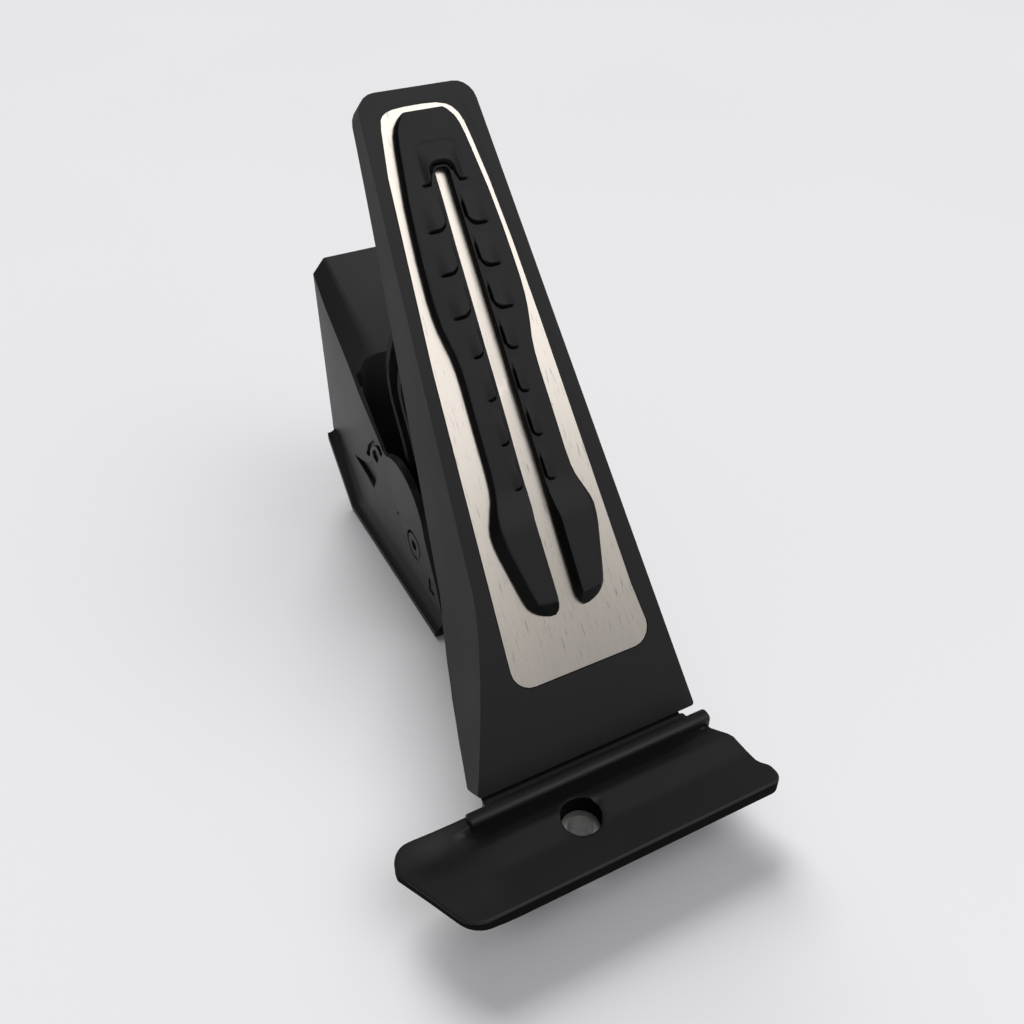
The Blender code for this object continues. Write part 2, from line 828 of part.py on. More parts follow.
def chamber_profile():
    """Open well for the lever: floor, rear wall and front wall, open at the top."""
    knee = front_knee_y + wall
    dome_front = dome_y - dome_radius
    rise = (front_wall_top - front_knee_z) / (dome_z - front_knee_z)
    front_high = front_knee_y + (dome_front - front_knee_y) * rise + wall * 1.2
    rear = chamber_rear - chamber_corner
    return [Vector((knee, chamber_floor)), Vector((rear, chamber_floor)),
            Vector((rear, tower_top + 0.02)), Vector((base_front - 0.02, tower_top + 0.02)),
            Vector((base_front - 0.02, front_wall_top)), Vector((front_high, front_wall_top)),
            Vector((knee, front_knee_z - 0.0012))]


def mouth_profile():
    """The well widens just under the roof, so that its left and right rims are thin."""
    rear = chamber_rear - chamber_corner * 0.5
    front = dome_y + dome_radius * 0.55
    depth = mouth_depth + roof_chamfer
    return [Vector((front, roof_height(front) - depth)), Vector((rear, roof_height(rear) - depth)),
            Vector((rear, roof_height(rear) + 0.02)), Vector((front, roof_height(front) + 0.02))]


def core_profile():
    """The tower behind the lever well is cored out from its sloping underside."""
    front = base_knee + 0.002
    rear = rear_y - core_inset
    skin = core_inset * 1.4 + roof_chamfer
    slope = rear_foot_z / (rear_y - base_knee)
    return [Vector((front, -0.004)), Vector((rear, slope * (rear - base_knee) - 0.006)),
            Vector((rear, roof_height(rear) - skin)), Vector((front, roof_height(front) - skin))]


def sensor_outline(margin):
    return box_outline(sensor_front + margin, sensor_low + margin,
                       sensor_rear - margin, sensor_high - margin, sensor_corner - margin)


def cover_screw_places():
    return [(sensor_front + lug_inset, sensor_low + lug_inset),
            (sensor_rear - lug_inset, sensor_low + lug_inset),
            (sensor_rear - lug_inset, sensor_high - lug_inset),
            (sensor_front + lug_inset, sensor_high - lug_inset)]


def make_housing(materials):
    shape = slab(housing_profile(tower_top, roof_slope), -housing_half, housing_half)
    housing = make_object("base_housing", shape, materials["black_nylon"])
    for side in (-1, 1):
        cut(housing, roof_bevel(side))
    # Flange round the base and arm to the foot
    edge = housing_half + flange_width
    weld(housing, slab(flange_profile(), -edge, edge))
    arm = box_outline(-arm_half, arm_front, arm_half, base_front + wall, 0.0)
    weld(housing, upright(arm, 0.0, arm_height))
    pad_top = foot_front_top - foot_edge - seat_gap
    pad = box_outline(-arm_half, arm_front, arm_half, foot_web_rear, 0.0)
    weld(housing, upright(pad, arm_height - 0.001, pad_top))
    # Sensor chamber on the right wall
    sensor_right = housing_half + sensor_depth
    weld(housing, slab(sensor_outline(0.0), housing_half - 0.001, sensor_right))
    for y, z in cover_screw_places():
        weld(housing, slab(circle((y, z), lug_radius, 16), housing_half - 0.001, sensor_right))
    # Lever well with a rounded rear corner, tower core and arm pockets
    cut(housing, slab(chamber_profile(), -chamber_half, chamber_half))
    cut(housing, upright(box_outline(-chamber_half, axle_y, chamber_half, chamber_rear,
                                     chamber_corner), chamber_floor, tower_top))
    cut(housing, slab(mouth_profile(), -mouth_half, mouth_half))
    weld(housing, slab(buffer_tab(), -buffer_half - 0.001, buffer_half + 0.001))
    core_half = housing_half - roof_chamfer - core_inset
    cut(housing, slab(core_profile(), -core_half, core_half))
    for start, end in ((0.0040, 0.0360), (0.0385, base_front - 0.004)):
        pocket = box_outline(-arm_half + arm_pocket_wall, start, arm_half - arm_pocket_wall, end,
                             0.002)
        cut(housing, upright(pocket, chamber_floor, arm_height + 0.01))
    cut(housing, slab(sensor_outline(sensor_wall), housing_half - 0.0002, sensor_right + 0.01))
    # Axle bore, cap seat and spigot bore
    bore = slab(circle((axle_y, axle_z), axle_radius + seat_gap / 2.0, 20),
                -housing_half - 0.01, 0.0)
    cut(housing, bore)
    cut(housing, slab(circle((axle_y, axle_z), cap_radius + seat_gap, 32),
                      -housing_half - 0.01, -housing_half + cap_depth + seat_gap))
    cut(housing, slab(circle((axle_y, axle_z), wall_bush_radius + seat_gap, 24), 0.0,
                      sensor_right + 0.01))
    # Screw holes for the cover, and for the foot
    for y, z in cover_screw_places():
        cut(housing, slab(circle((y, z), screw_radius + seat_gap / 2.0, 12),
                          sensor_right - screw_length, sensor_right + 0.01))
    for side in (-1, 1):
        hole = circle((side * foot_screw_pitch / 2.0, foot_screw_y),
                      foot_screw_radius + seat_gap, 16)
        cut(housing, upright(hole, -0.001, pad_top + 0.001))
        head = circle((side * foot_screw_pitch / 2.0, foot_screw_y),
                      foot_screw_head + seat_gap, 16)
        cut(housing, upright(head, -0.001, foot_screw_seat))
    cut_wall_marks(housing)
    return finish(housing)


def cut_wall_marks(housing):
    """Arch, slot, broken gap, dot and window, each a shallow recess in the left wall."""
    outside = -housing_half - 0.01
    floor = -housing_half + wall_mark_depth
    for outline in (arch_outer + arch_inner, arch_slot, wall_gap):
        points = [Vector((dome_y + y, dome_z + z)) for y, z in outline]
        cut(housing, slab(points, outside, floor))
    dot = circle((dome_y + dot_y, dome_z + dot_z), dot_radius, 10)
    cut(housing, slab(dot, outside, floor))
    y, z = dome_y + window_y, dome_z + window_z
    window = box_outline(y - window_width / 2.0, z - window_height / 2.0,
                         y + window_width / 2.0, z + window_height / 2.0, 0.0005)
    cut(housing, slab(window, outside, floor))


def make_foot_screws(materials):
    for number, side in enumerate((-1, 1), 1):
        shape = bmesh.new()
        place = (side * foot_screw_pitch / 2.0, foot_screw_y)
        pad_top = foot_front_top - foot_edge - seat_gap
        seat = foot_screw_seat - seat_gap
        rings = []
        for radius, z in ((foot_screw_head, seat - foot_screw_head_height),
                          (foot_screw_head, seat), (foot_screw_radius, seat),
                          (foot_screw_radius, pad_top + foot_screw_bite - seat_gap)):
            rings.append([Vector((p.x, p.y, z)) for p in circle(place, radius, 16)])
        loft(rings, shape)
        make_object("foot_screw_%d" % number, shape, materials["bright_steel"])


def make_cap(materials):
    outside = -housing_half
    shape = slab(circle((axle_y, axle_z), cap_radius, 32), outside, outside + cap_depth)
    cap = make_object("pivot_cap", shape, materials["inner_plastic"])
    cut(cap, slab(circle((axle_y, axle_z), cap_socket, 20), outside - 0.001,
                  outside + cap_socket_depth))
    return finish(cap)


def make_axle(materials):
    left = -housing_half + cap_depth + 2.0 * seat_gap
    rings = []
    for radius, x in ((axle_radius - 0.0004, left), (axle_radius, left + 0.0004),
                      (axle_radius, hub_half - 0.0024), (axle_radius - 0.0004, hub_half - 0.0020)):
        rings.append([Vector((x, p.x, p.y)) for p in circle((axle_y, axle_z), radius, 20)])
    return make_object("lever_axle", loft(rings), materials["bright_steel"])


def arm_path(steps=12):
    """Centre line of the lever's arm, from the hub to the tip, with unit normals."""
    tip = tread_place(tip_along, -tip_depth) - Vector((axle_y, axle_z))
    across = Vector((tip.y, -tip.x))
    points = [arm_start, tip * arm_rise.x + across * arm_rise.y,
              tip * arm_bend.x + across * arm_bend.y, tip]
    path = []
    for step in range(steps + 1):
        t = step / steps
        weights = [(1 - t) ** 3, 3 * t * (1 - t) ** 2, 3 * t * t * (1 - t), t ** 3]
        place = sum((p * w for p, w in zip(points, weights)), Vector((0.0, 0.0)))
        slopes = [3 * (1 - t) ** 2, 6 * t * (1 - t), 3 * t * t]
        along = sum(((b - a) * w for a, b, w in zip(points, points[1:], slopes)),
                    Vector((0.0, 0.0)))
        normal = Vector((along.y, -along.x)).normalized()
        path.append((place, normal, t))
    return path


def arm_band(near, far, steps=12):
    """Outline between two offsets from the arm's centre line."""
    path = arm_path(steps)
    outer = [place + normal * far for place, normal, _ in path]
    inner = [place + normal * near for place, normal, _ in path]
    return outer + list(reversed(inner))


def make_lever(materials, pivot):
    band = arm_band(-arm_half_thickness, arm_half_thickness)
    lever = make_object("lever", slab(band, -cheek_half, cheek_half),
                        materials["inner_plastic"], pivot)
    weld(lever, slab(circle((0.0, 0.0), cheek_radius, 32), -cheek_half, cheek_half))
    tip = tread_place(tip_along, -tip_depth) - Vector((axle_y, axle_z))
    inner = cheek_half - cheek_thickness
    # Pockets in the arm's left and right sides leave an I-section with cross ribs
    steps = 12
    per_pocket = (steps - 2) // arm_rib_count
    depth = arm_half_thickness - arm_flange
    path = arm_path(steps * 4)
    for number in range(arm_rib_count):
        first = 1 + number * per_pocket
        part = path[first * 4 + 1:(first + per_pocket) * 4]
        outline = [place + normal * depth for place, normal, _ in part]
        outline += [place - normal * depth for place, normal, _ in reversed(part)]
        cut(lever, slab(outline, arm_web / 2.0, cheek_half + 0.001))
        cut(lever, slab(outline, -cheek_half - 0.001, -arm_web / 2.0))
    # Room for the springs between the cheeks, then the hub, spigot and tip
    cut(lever, slab(circle((0.0, 0.0), cheek_radius + 0.0009, 32), -inner, inner))
    weld(lever, slab(circle((0.0, 0.0), hub_radius, 28), -hub_half, hub_half))
    spigot_end = housing_half + spigot_reach
    weld(lever, slab(circle((0.0, 0.0), spigot_radius, 24), hub_half - 0.001, spigot_end))
    weld(lever, slab(circle(tip, tip_radius, 20), -cheek_half, cheek_half))
    cut(lever, slab(circle((0.0, 0.0), axle_radius + seat_gap / 3.0, 20), -hub_half - 0.001,
                    hub_half - 0.0015))
    seat = bush_length + seat_gap
    cut(lever, slab(circle((0.0, 0.0), bush_radius + seat_gap / 2.0, 24), -hub_half - 0.001,
                    -hub_half + seat))
    trim_tip(lever, tip)
    return finish(lever)


def trim_tip(lever, tip):
    """The arm stops short of the shoe, so that only the round tip carries it."""
    ring = shoe_radius + seat_gap
    side = shoe_half + seat_gap
    keep = tip_radius
    hollow = bmesh.new()
    outer = circle(tip, ring, 28)
    inner = circle(tip, keep, 28)
    rings = []
    for points, x in ((inner, -side), (outer, -side), (outer, side), (inner, side)):
        rings.append([Vector((x, p.x, p.y)) for p in points])
    loft(rings, hollow, closed=True)
    cut(lever, hollow)


def make_shoe(materials, pivot):
    """Slide shoe: a split sleeve snapped over the lever's tip."""
    tip = tread_place(tip_along, -tip_depth) - Vector((axle_y, axle_z))
    bore = tip_radius + seat_gap
    shape = tube(shoe_radius, bore, -shoe_half, shoe_half, "X", 28)
    return make_object("slide_shoe", moved(shape, 0.0, tip.x, tip.y),
                       materials["natural_plastic"], pivot)


def make_lever_bush(materials, pivot):
    shape = tube(bush_radius, axle_radius + seat_gap / 3.0, -hub_half, -hub_half + bush_length,
                 "X", 24)
    make_object("lever_bush", shape, materials["pin_brass"], pivot)
    magnet_left = housing_half + spigot_reach + seat_gap
    shape = slab(circle((0.0, 0.0), magnet_radius, 24), magnet_left,
                 magnet_left + magnet_thickness)
    make_object("sensor_magnet", shape, materials["magnet"], pivot)


def make_wall_bush(materials):
    shape = tube(wall_bush_radius, spigot_radius + seat_gap / 3.0, chamber_half,
                 housing_half, "X", 24)
    return make_object("wall_bush", moved(shape, 0.0, axle_y, axle_z), materials["pin_brass"])


def wire(path, radius, sides=6):
    """A round wire along a list of points."""
    rings = []
    for index, point in enumerate(path):
        before = path[max(index - 1, 0)]
        after = path[min(index + 1, len(path) - 1)]
        along = (after - before).normalized()
        side = along.cross(Vector((1.0, 0.0, 0.0)))
        if side.length < 0.1:
            side = along.cross(Vector((0.0, 1.0, 0.0)))
        side.normalize()
        up = along.cross(side)
        rings.append([point + (side * math.cos(a) + up * math.sin(a)) * radius
                      for a in (2.0 * math.pi * s / sides for s in range(sides))])
    return loft(rings)


def make_return_springs(materials):
    """Two leg springs round the hub; one leg bears on the lever, one on the housing floor."""
    per_turn = 18
    sweep = 2.0 * math.pi * spring_turns + spring_leg_angle - spring_end_angle
    room = cheek_half - cheek_thickness - spring_side_gap - spring_wire - spring_start
    count = round(sweep / (2.0 * math.pi) * per_turn)
    leg_way = Vector((0.0, math.sin(spring_end_angle), -math.cos(spring_end_angle)))
    for name, side in (("return_spring_left", -1), ("return_spring_right", 1)):
        path = [Vector((side * spring_start, spring_leg * math.cos(spring_leg_angle),
                        spring_leg * math.sin(spring_leg_angle)))]
        for step in range(count + 1):
            angle = spring_leg_angle - sweep * step / count
            x = side * (spring_start + room * step / count)
            path.append(Vector((x, spring_mean * math.cos(angle), spring_mean * math.sin(angle))))
        last = path[-1]
        drop = (axle_z - chamber_floor - spring_wire - seat_gap + last.z) / -leg_way.z
        path.append(last + leg_way * drop)
        shape = wire([p + Vector((0.0, axle_y, axle_z)) for p in path], spring_wire)
        make_object(name, shape, materials["spring_steel"])


def make_brake(materials):
    """Friction shoe on the cheeks' rims, pushed forward by a coil spring."""
    inner = cheek_radius + brake_inner_gap
    outer = inner + brake_depth
    first = brake_angle - brake_half_angle
    last = brake_angle + brake_half_angle
    outline = arc((axle_y, axle_z), inner, first, last, 10)
    outline += list(reversed(arc((axle_y, axle_z), outer, first, last, 6)))
    shoe = make_object("friction_shoe", slab(outline, -brake_half, brake_half),
                       materials["natural_plastic"])
    # A round seat in the shoe's back takes the spring
    center_z = axle_z + math.sin(brake_angle) * outer
    seat_y = axle_y + math.cos(brake_angle) * outer
    seat = circle((0.0, center_z), brake_spring_mean + 0.0009, 20)
    shape = loft([[Vector((p.x, y, p.y)) for p in seat] for y in (seat_y - 0.0020, seat_y + 0.01)])
    cut(shoe, shape)
    finish(shoe)
    front = seat_y - 0.0020 + seat_gap + brake_spring_wire
    rear = chamber_rear - seat_gap - brake_spring_wire
    per_turn = 12
    path = []
    count = int(brake_spring_turns * per_turn)
    for step in range(count + 1):
        angle = 2.0 * math.pi * step / per_turn
        path.append(Vector((brake_spring_mean * math.cos(angle),
                            front + (rear - front) * step / count,
                            center_z + brake_spring_mean * math.sin(angle))))
    make_object("friction_spring", wire(path, brake_spring_wire), materials["spring_steel"])


def buffer_seat():
    """Middle of the rest buffer's face on the lever's front edge, with its two directions."""
    place, normal, _ = arm_path(24)[buffer_station]
    face = Vector((axle_y, axle_z)) + place - normal * (arm_half_thickness + seat_gap)
    return face, normal, Vector((-normal.y, normal.x))


def buffer_tab():
    """Tab on the housing's front wall that carries the rest buffer."""
    face, normal, up = buffer_seat()
    back = face - normal * (buffer_thickness + seat_gap)
    low = back - up * buffer_height / 2.0
    high = back + up * buffer_height / 2.0
    foot_z = front_wall_top - 0.0010
    return [Vector((tab_foot_y, foot_z)), low, high, high - normal * wall,
            Vector((tab_foot_y - wall * 0.9, foot_z))]


def make_buffer(materials):
    """Rubber rest stop between the housing's front tab and the lever's arm."""
    face, normal, up = buffer_seat()
    half = up * (buffer_height / 2.0)
    back = face - normal * buffer_thickness
    outline = [back - half, face - half * 0.8, face + half * 0.8, back + half]
    return make_object("rest_buffer", slab(outline, -buffer_half, buffer_half),
                       materials["black_rubber"])


def make_sensor_group(materials):
    face = housing_half + sensor_depth
    # Gasket in the joint between chamber and cover
    ring_outer = sensor_outline(sensor_wall + seat_gap)
    ring_inner = sensor_outline(sensor_wall + seat_gap + seal_width)
    rings = []
    low, high = face - seal_thickness, face
    for outline, x in ((ring_inner, low), (ring_outer, low), (ring_outer, high),
                       (ring_inner, high)):
        rings.append([Vector((x, p.x, p.y)) for p in outline])
    make_object("cover_seal", loft(rings, closed=True), materials["black_rubber"])
    # Board behind the magnet
    board_left = housing_half + spigot_reach + magnet_thickness + 3.0 * seat_gap
    board = slab(sensor_outline(sensor_wall + seal_width + board_margin), board_left,
                 board_left + board_thickness)
    make_object("sensor_board", board, materials["circuit_board"])
    # Cover with a connector socket
    inside = face + cover_gap
    outside = inside + cover_thickness
    cover = make_object("sensor_cover", slab(sensor_outline(-0.0002), inside, outside),
                        materials["black_nylon"])
    for y, z in cover_screw_places():
        weld(cover, slab(circle((y, z), lug_radius, 16), inside, outside))
    half_y = socket_width / 2.0
    half_z = socket_height / 2.0
    shell = box_outline(socket_y - half_y, socket_z - half_z, socket_y + half_y,
                        socket_z + half_z, 0.003)
    weld(cover, slab(shell, inside + 0.0005, outside + socket_depth))
    key = box_outline(socket_y - 0.003, socket_z + half_z - 0.001, socket_y + 0.003,
                      socket_z + half_z + 0.0016, 0.0)
    weld(cover, slab(key, outside - 0.0005, outside + socket_depth * 0.75))
    bore = box_outline(socket_y - half_y + socket_wall, socket_z - half_z + socket_wall,
                       socket_y + half_y - socket_wall, socket_z + half_z - socket_wall, 0.0018)
    cut(cover, slab(bore, outside + 0.0004, outside + socket_depth + 0.01))
    for y, z in cover_screw_places():
        cut(cover, slab(circle((y, z), screw_radius + seat_gap, 16), inside - 0.001,
                        outside + 0.001))
    for y, z in pin_places():
        size = pin_size / 2.0 + seat_gap / 2.0
        hole = box_outline(y - size, z - size, y + size, z + size)
        cut(cover, slab(hole, inside - 0.001, outside + 0.005))
    finish(cover)
    pin_start = board_left + board_thickness + seat_gap
    for number, (y, z) in enumerate(pin_places(), 1):
        size = pin_size / 2.0
        square = box_outline(y - size, z - size, y + size, z + size)
        tip = box_outline(y - size / 2.0, z - size / 2.0, y + size / 2.0, z + size / 2.0)
        end = outside + socket_depth - 0.0040
        rings = [[Vector((x, p.x, p.y)) for p in outline]
                 for outline, x in ((square, pin_start), (square, end - 0.0008), (tip, end))]
        make_object("connector_pin_%d" % number, loft(rings), materials["pin_brass"])
    for number, (y, z) in enumerate(cover_screw_places(), 1):
        rings = []
        for radius, x in ((screw_radius, outside - screw_length + 0.0022),
                          (screw_radius, outside + seat_gap), (screw_head, outside + seat_gap),
                          (screw_head, outside + seat_gap + screw_head_height * 0.6),
                          (screw_head * 0.7, outside + seat_gap + screw_head_height)):
            rings.append([Vector((x, p.x, p.y)) for p in circle((y, z), radius, 12)])
        make_object("cover_screw_%d" % number, loft(rings), materials["bright_steel"])


def pin_places():
    places = []
    for row in (-0.5, 0.5):
        for column in (-1, 0, 1):
            places.append((socket_y + column * pin_pitch, socket_z + row * pin_row_pitch))
    return places


def main():
    clear_scene()
    materials = make_materials()
    tread_pivot = make_pivot("tread_pivot", (0.0, hinge_y, hinge_z), (tread_angle, 0.0, 0.0))
    lever_pivot = make_pivot("lever_pivot", (0.0, axle_y, axle_z))
    make_tread(materials, tread_pivot)
    make_inlay(materials, tread_pivot)
    make_grip(materials, tread_pivot)
    make_track(materials, tread_pivot)
    make_foot(materials)
    make_film_hinge(materials)
    make_foot_sleeve(materials)
    make_housing(materials)
    make_foot_screws(materials)
    make_cap(materials)
    make_axle(materials)
    make_lever(materials, lever_pivot)
    make_shoe(materials, lever_pivot)
    make_lever_bush(materials, lever_pivot)
    make_wall_bush(materials)
    make_return_springs(materials)
    make_brake(materials)
    make_buffer(materials)
    make_sensor_group(materials)


main()
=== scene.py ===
import math

import bmesh
import bpy
from mathutils import Matrix, Vector


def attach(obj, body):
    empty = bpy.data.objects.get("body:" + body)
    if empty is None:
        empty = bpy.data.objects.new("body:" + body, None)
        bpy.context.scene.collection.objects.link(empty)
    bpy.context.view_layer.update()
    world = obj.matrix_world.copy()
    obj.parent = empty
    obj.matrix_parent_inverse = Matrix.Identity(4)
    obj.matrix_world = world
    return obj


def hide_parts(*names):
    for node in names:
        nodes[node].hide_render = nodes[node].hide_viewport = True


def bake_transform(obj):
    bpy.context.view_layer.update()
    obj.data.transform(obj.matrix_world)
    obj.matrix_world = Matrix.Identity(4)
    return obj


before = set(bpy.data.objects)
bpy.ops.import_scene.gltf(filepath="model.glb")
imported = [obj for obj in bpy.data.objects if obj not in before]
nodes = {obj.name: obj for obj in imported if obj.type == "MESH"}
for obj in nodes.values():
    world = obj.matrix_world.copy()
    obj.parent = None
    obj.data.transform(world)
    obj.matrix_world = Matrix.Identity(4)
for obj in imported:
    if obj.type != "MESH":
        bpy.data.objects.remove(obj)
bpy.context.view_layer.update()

# Shapes are worked out in millimetres, and MM turns them into metres
MM = 0.001
MERGE_DISTANCE = 0.002 * MM
# The tread's face: its slope, the line where it starts, and the ways up it and out of it
TREAD_ANGLE = math.radians(52.0)
FOOT_LINE = Vector((0.0, 0.0, 22.0))
UP_FACE = Vector((0.0, math.cos(TREAD_ANGLE), math.sin(TREAD_ANGLE)))
OUT_OF_FACE = Vector((0.0, -math.sin(TREAD_ANGLE), math.cos(TREAD_ANGLE)))


# Camera and light

CAMERA_PLACE = (-0.1132, -0.1547, 0.2604)
CAMERA_TILT, CAMERA_TURN = 50.93, -27.85
CAMERA_LENS, SENSOR_WIDTH = 36.04, 36.0
# Directions from the object towards the lights
CEILING_LIGHT = (0.34, -0.42, 0.84)
BACK_LIGHT = (0.13, 0.71, 0.67)
BACK_LIGHT_ENERGY, BACK_LIGHT_SPREAD = 2.75, 35.0
# Brightness of the room, by the cosine of the angle to the ceiling light
ROOM_LEVELS = [(0.0, 0.15), (0.25, 0.18), (0.58, 0.41), (0.72, 0.30), (0.79, 0.35),
               (0.85, 0.66), (0.913, 1.27), (0.96, 2.0), (1.0, 2.4)]
ROOM_STRENGTH, ROOM_BLUE = 0.80, 1.02
FLOOR_SIZE, FLOOR_DROP = 8.0, 0.3 * MM


def make_camera():
    data = bpy.data.cameras.new("photo_camera")
    data.lens = CAMERA_LENS
    data.sensor_width = SENSOR_WIDTH
    data.sensor_fit = "HORIZONTAL"
    data.clip_start = 0.01
    camera = bpy.data.objects.new("photo_camera", data)
    camera.location = CAMERA_PLACE
    camera.rotation_euler = (math.radians(CAMERA_TILT), 0.0, math.radians(CAMERA_TURN))
    bpy.context.scene.collection.objects.link(camera)
    bpy.context.scene.camera = camera


def make_back_light():
    """Wide, far light from the back right, which gives the floor its soft shadow."""
    data = bpy.data.lights.new("back_light", "SUN")
    data.energy = BACK_LIGHT_ENERGY
    data.angle = math.radians(BACK_LIGHT_SPREAD)
    light = bpy.data.objects.new("back_light", data)
    light.rotation_euler = (-Vector(BACK_LIGHT)).to_track_quat("-Z", "Y").to_euler()
    light.visible_glossy = False
    bpy.context.scene.collection.objects.link(light)


def make_world():
    """Dim room with one broad bright patch high up in front of the object."""
    world = bpy.data.worlds.new("studio")
    bpy.context.scene.world = world
    world.use_nodes = True
    tree = world.node_tree
    tree.nodes.clear()
    out = tree.nodes.new("ShaderNodeOutputWorld")
    background = tree.nodes.new("ShaderNodeBackground")
    background.inputs["Strength"].default_value = ROOM_STRENGTH
    coords = tree.nodes.new("ShaderNodeTexCoord")
    toward = tree.nodes.new("ShaderNodeVectorMath")
    toward.operation = "DOT_PRODUCT"
    toward.inputs[1].default_value = Vector(CEILING_LIGHT).normalized()
    ramp = tree.nodes.new("ShaderNodeValToRGB")
    elements = ramp.color_ramp.elements
    while len(elements) < len(ROOM_LEVELS):
        elements.new(0.5)
    for element, (place, level) in zip(elements, ROOM_LEVELS):
        element.position = place
        element.color = (level, level, level * ROOM_BLUE, 1.0)
    tree.links.new(coords.outputs["Generated"], toward.inputs[0])
    tree.links.new(toward.outputs["Value"], ramp.inputs[0])
    tree.links.new(ramp.outputs[0], background.inputs["Color"])
    tree.links.new(background.outputs[0], out.inputs[0])


def make_floor():
    bpy.ops.mesh.primitive_plane_add(size=FLOOR_SIZE, location=(0.0, 0.0, -FLOOR_DROP))
    floor = bpy.context.object
    floor.name = "pale_floor"
    floor.data.materials.append(floor_material())


# Materials

BLACK = (0.0060, 0.0058, 0.0064)


def shade(color, factor, lift=0.0):
    """The colour made lighter or darker."""
    return tuple(min(channel * factor + lift, 1.0) for channel in color)


class Nodes:
    """Small helper to write a material's node tree in a few lines."""

    def __init__(self, name, roughness, metallic=0.0, color=(0.5, 0.5, 0.5)):
        self.material = bpy.data.materials.new(name)
        self.material.use_nodes = True
        self.tree = self.material.node_tree
        self.shader = self.tree.nodes["Principled BSDF"]
        self.shader.inputs["Roughness"].default_value = roughness
        self.shader.inputs["Metallic"].default_value = metallic
        self.shader.inputs["Base Color"].default_value = (*color, 1.0)

    def new(self, kind, **settings):
        node = self.tree.nodes.new(kind)
        for key, value in settings.items():
            setattr(node, key, value)
        return node

    def link(self, source, target):
        self.tree.links.new(source, target)

    def feed(self, source, socket):
        """Links a node's output to one input of the shader."""
        self.link(source, self.shader.inputs[socket])

    def coords(self, rotation=(0.0, 0.0, 0.0)):
        place = self.new("ShaderNodeTexCoord")
        mapping = self.new("ShaderNodeMapping")
        mapping.inputs["Rotation"].default_value = rotation
        self.link(place.outputs["Object"], mapping.inputs["Vector"])
        return mapping.outputs["Vector"]

    def stretched(self, coords, scale):
        mapping = self.new("ShaderNodeMapping")
        mapping.inputs["Scale"].default_value = scale
        self.link(coords, mapping.inputs["Vector"])
        return mapping.outputs["Vector"]

    def noise(self, coords, scale, detail=3.0, rough=0.5):
        node = self.new("ShaderNodeTexNoise")
        node.inputs["Scale"].default_value = scale
        node.inputs["Detail"].default_value = detail
        node.inputs["Roughness"].default_value = rough
        self.link(coords, node.inputs["Vector"])
        return node.outputs["Fac"]

    def spread(self, source, low, high, start=0.0, end=1.0, easing="LINEAR"):
        """Maps start to end onto low to high, held past both ends."""
        node = self.new("ShaderNodeMapRange", interpolation_type=easing)
        node.inputs["From Min"].default_value = start
        node.inputs["From Max"].default_value = end
        node.inputs["To Min"].default_value = low
        node.inputs["To Max"].default_value = high
        self.link(source, node.inputs["Value"])
        return node.outputs["Result"]

    def mix(self, amount, first, second):
        node = self.new("ShaderNodeMix", data_type="RGBA")
        self.link(amount, node.inputs["Factor"])
        for socket, value in ((node.inputs["A"], first), (node.inputs["B"], second)):
            if isinstance(value, tuple):
                socket.default_value = (*value, 1.0)
            else:
                self.link(value, socket)
        return node.outputs["Result"]

    def bump(self, source, strength, distance, before=None):
        node = self.new("ShaderNodeBump")
        node.inputs["Strength"].default_value = strength
        node.inputs["Distance"].default_value = distance
        self.link(source, node.inputs["Height"])
        if before:
            self.link(before, node.inputs["Normal"])
        return node.outputs["Normal"]


def moulded_plastic(name, color, roughness, grain=0.25, specular=0.38, grain_scale=2600.0):
    """Moulded nylon: fine grain over a slightly uneven surface, and faint clouds in its tone."""
    m = Nodes(name, roughness, color=color)
    m.shader.inputs["Specular IOR Level"].default_value = specular
    coords = m.coords()
    cloud = m.noise(coords, 28.0, 4.0, 0.55)
    m.feed(m.mix(cloud, color, shade(color, 1.35, 0.0012)), "Base Color")
    m.feed(m.spread(cloud, roughness - 0.08, roughness + 0.08), "Roughness")
    fine = m.bump(m.noise(coords, grain_scale, 2.0, 0.6), grain, 0.08 * MM)
    uneven = m.bump(m.noise(coords, 420.0, 3.0, 0.6), grain * 0.35, 0.15 * MM, fine)
    m.feed(uneven, "Normal")
    return m.material


def rubber(name, color, roughness, specular=0.37):
    """Moulded rubber, slightly polished where it is flat; its walls get painted shade, a darker
    colour and less specular.
    """
    m = Nodes(name, roughness, color=color)
    coords = m.coords()
    place = m.new("ShaderNodeTexCoord")
    facing = m.new("ShaderNodeVectorMath", operation="DOT_PRODUCT")
    facing.inputs[1].default_value = OUT_OF_FACE
    m.link(place.outputs["Normal"], facing.inputs[0])
    flat = m.spread(facing.outputs["Value"], 0.0, 1.0, 0.76, 0.96, "SMOOTHSTEP")
    cloud = m.noise(coords, 45.0, 3.0, 0.5)
    tone = m.mix(cloud, color, shade(color, 1.5, 0.001))
    # Painted shade: faces that lean away from the tread's face get a darker colour and less
    # specular.
    m.feed(m.mix(flat, shade(color, 0.65), tone), "Base Color")
    m.feed(m.spread(flat, specular * 0.3, specular), "Specular IOR Level")
    m.feed(m.spread(cloud, roughness - 0.06, roughness + 0.10), "Roughness")
    m.feed(m.bump(m.noise(coords, 3800.0, 2.0, 0.7), 0.35, 0.06 * MM), "Normal")
    return m.material


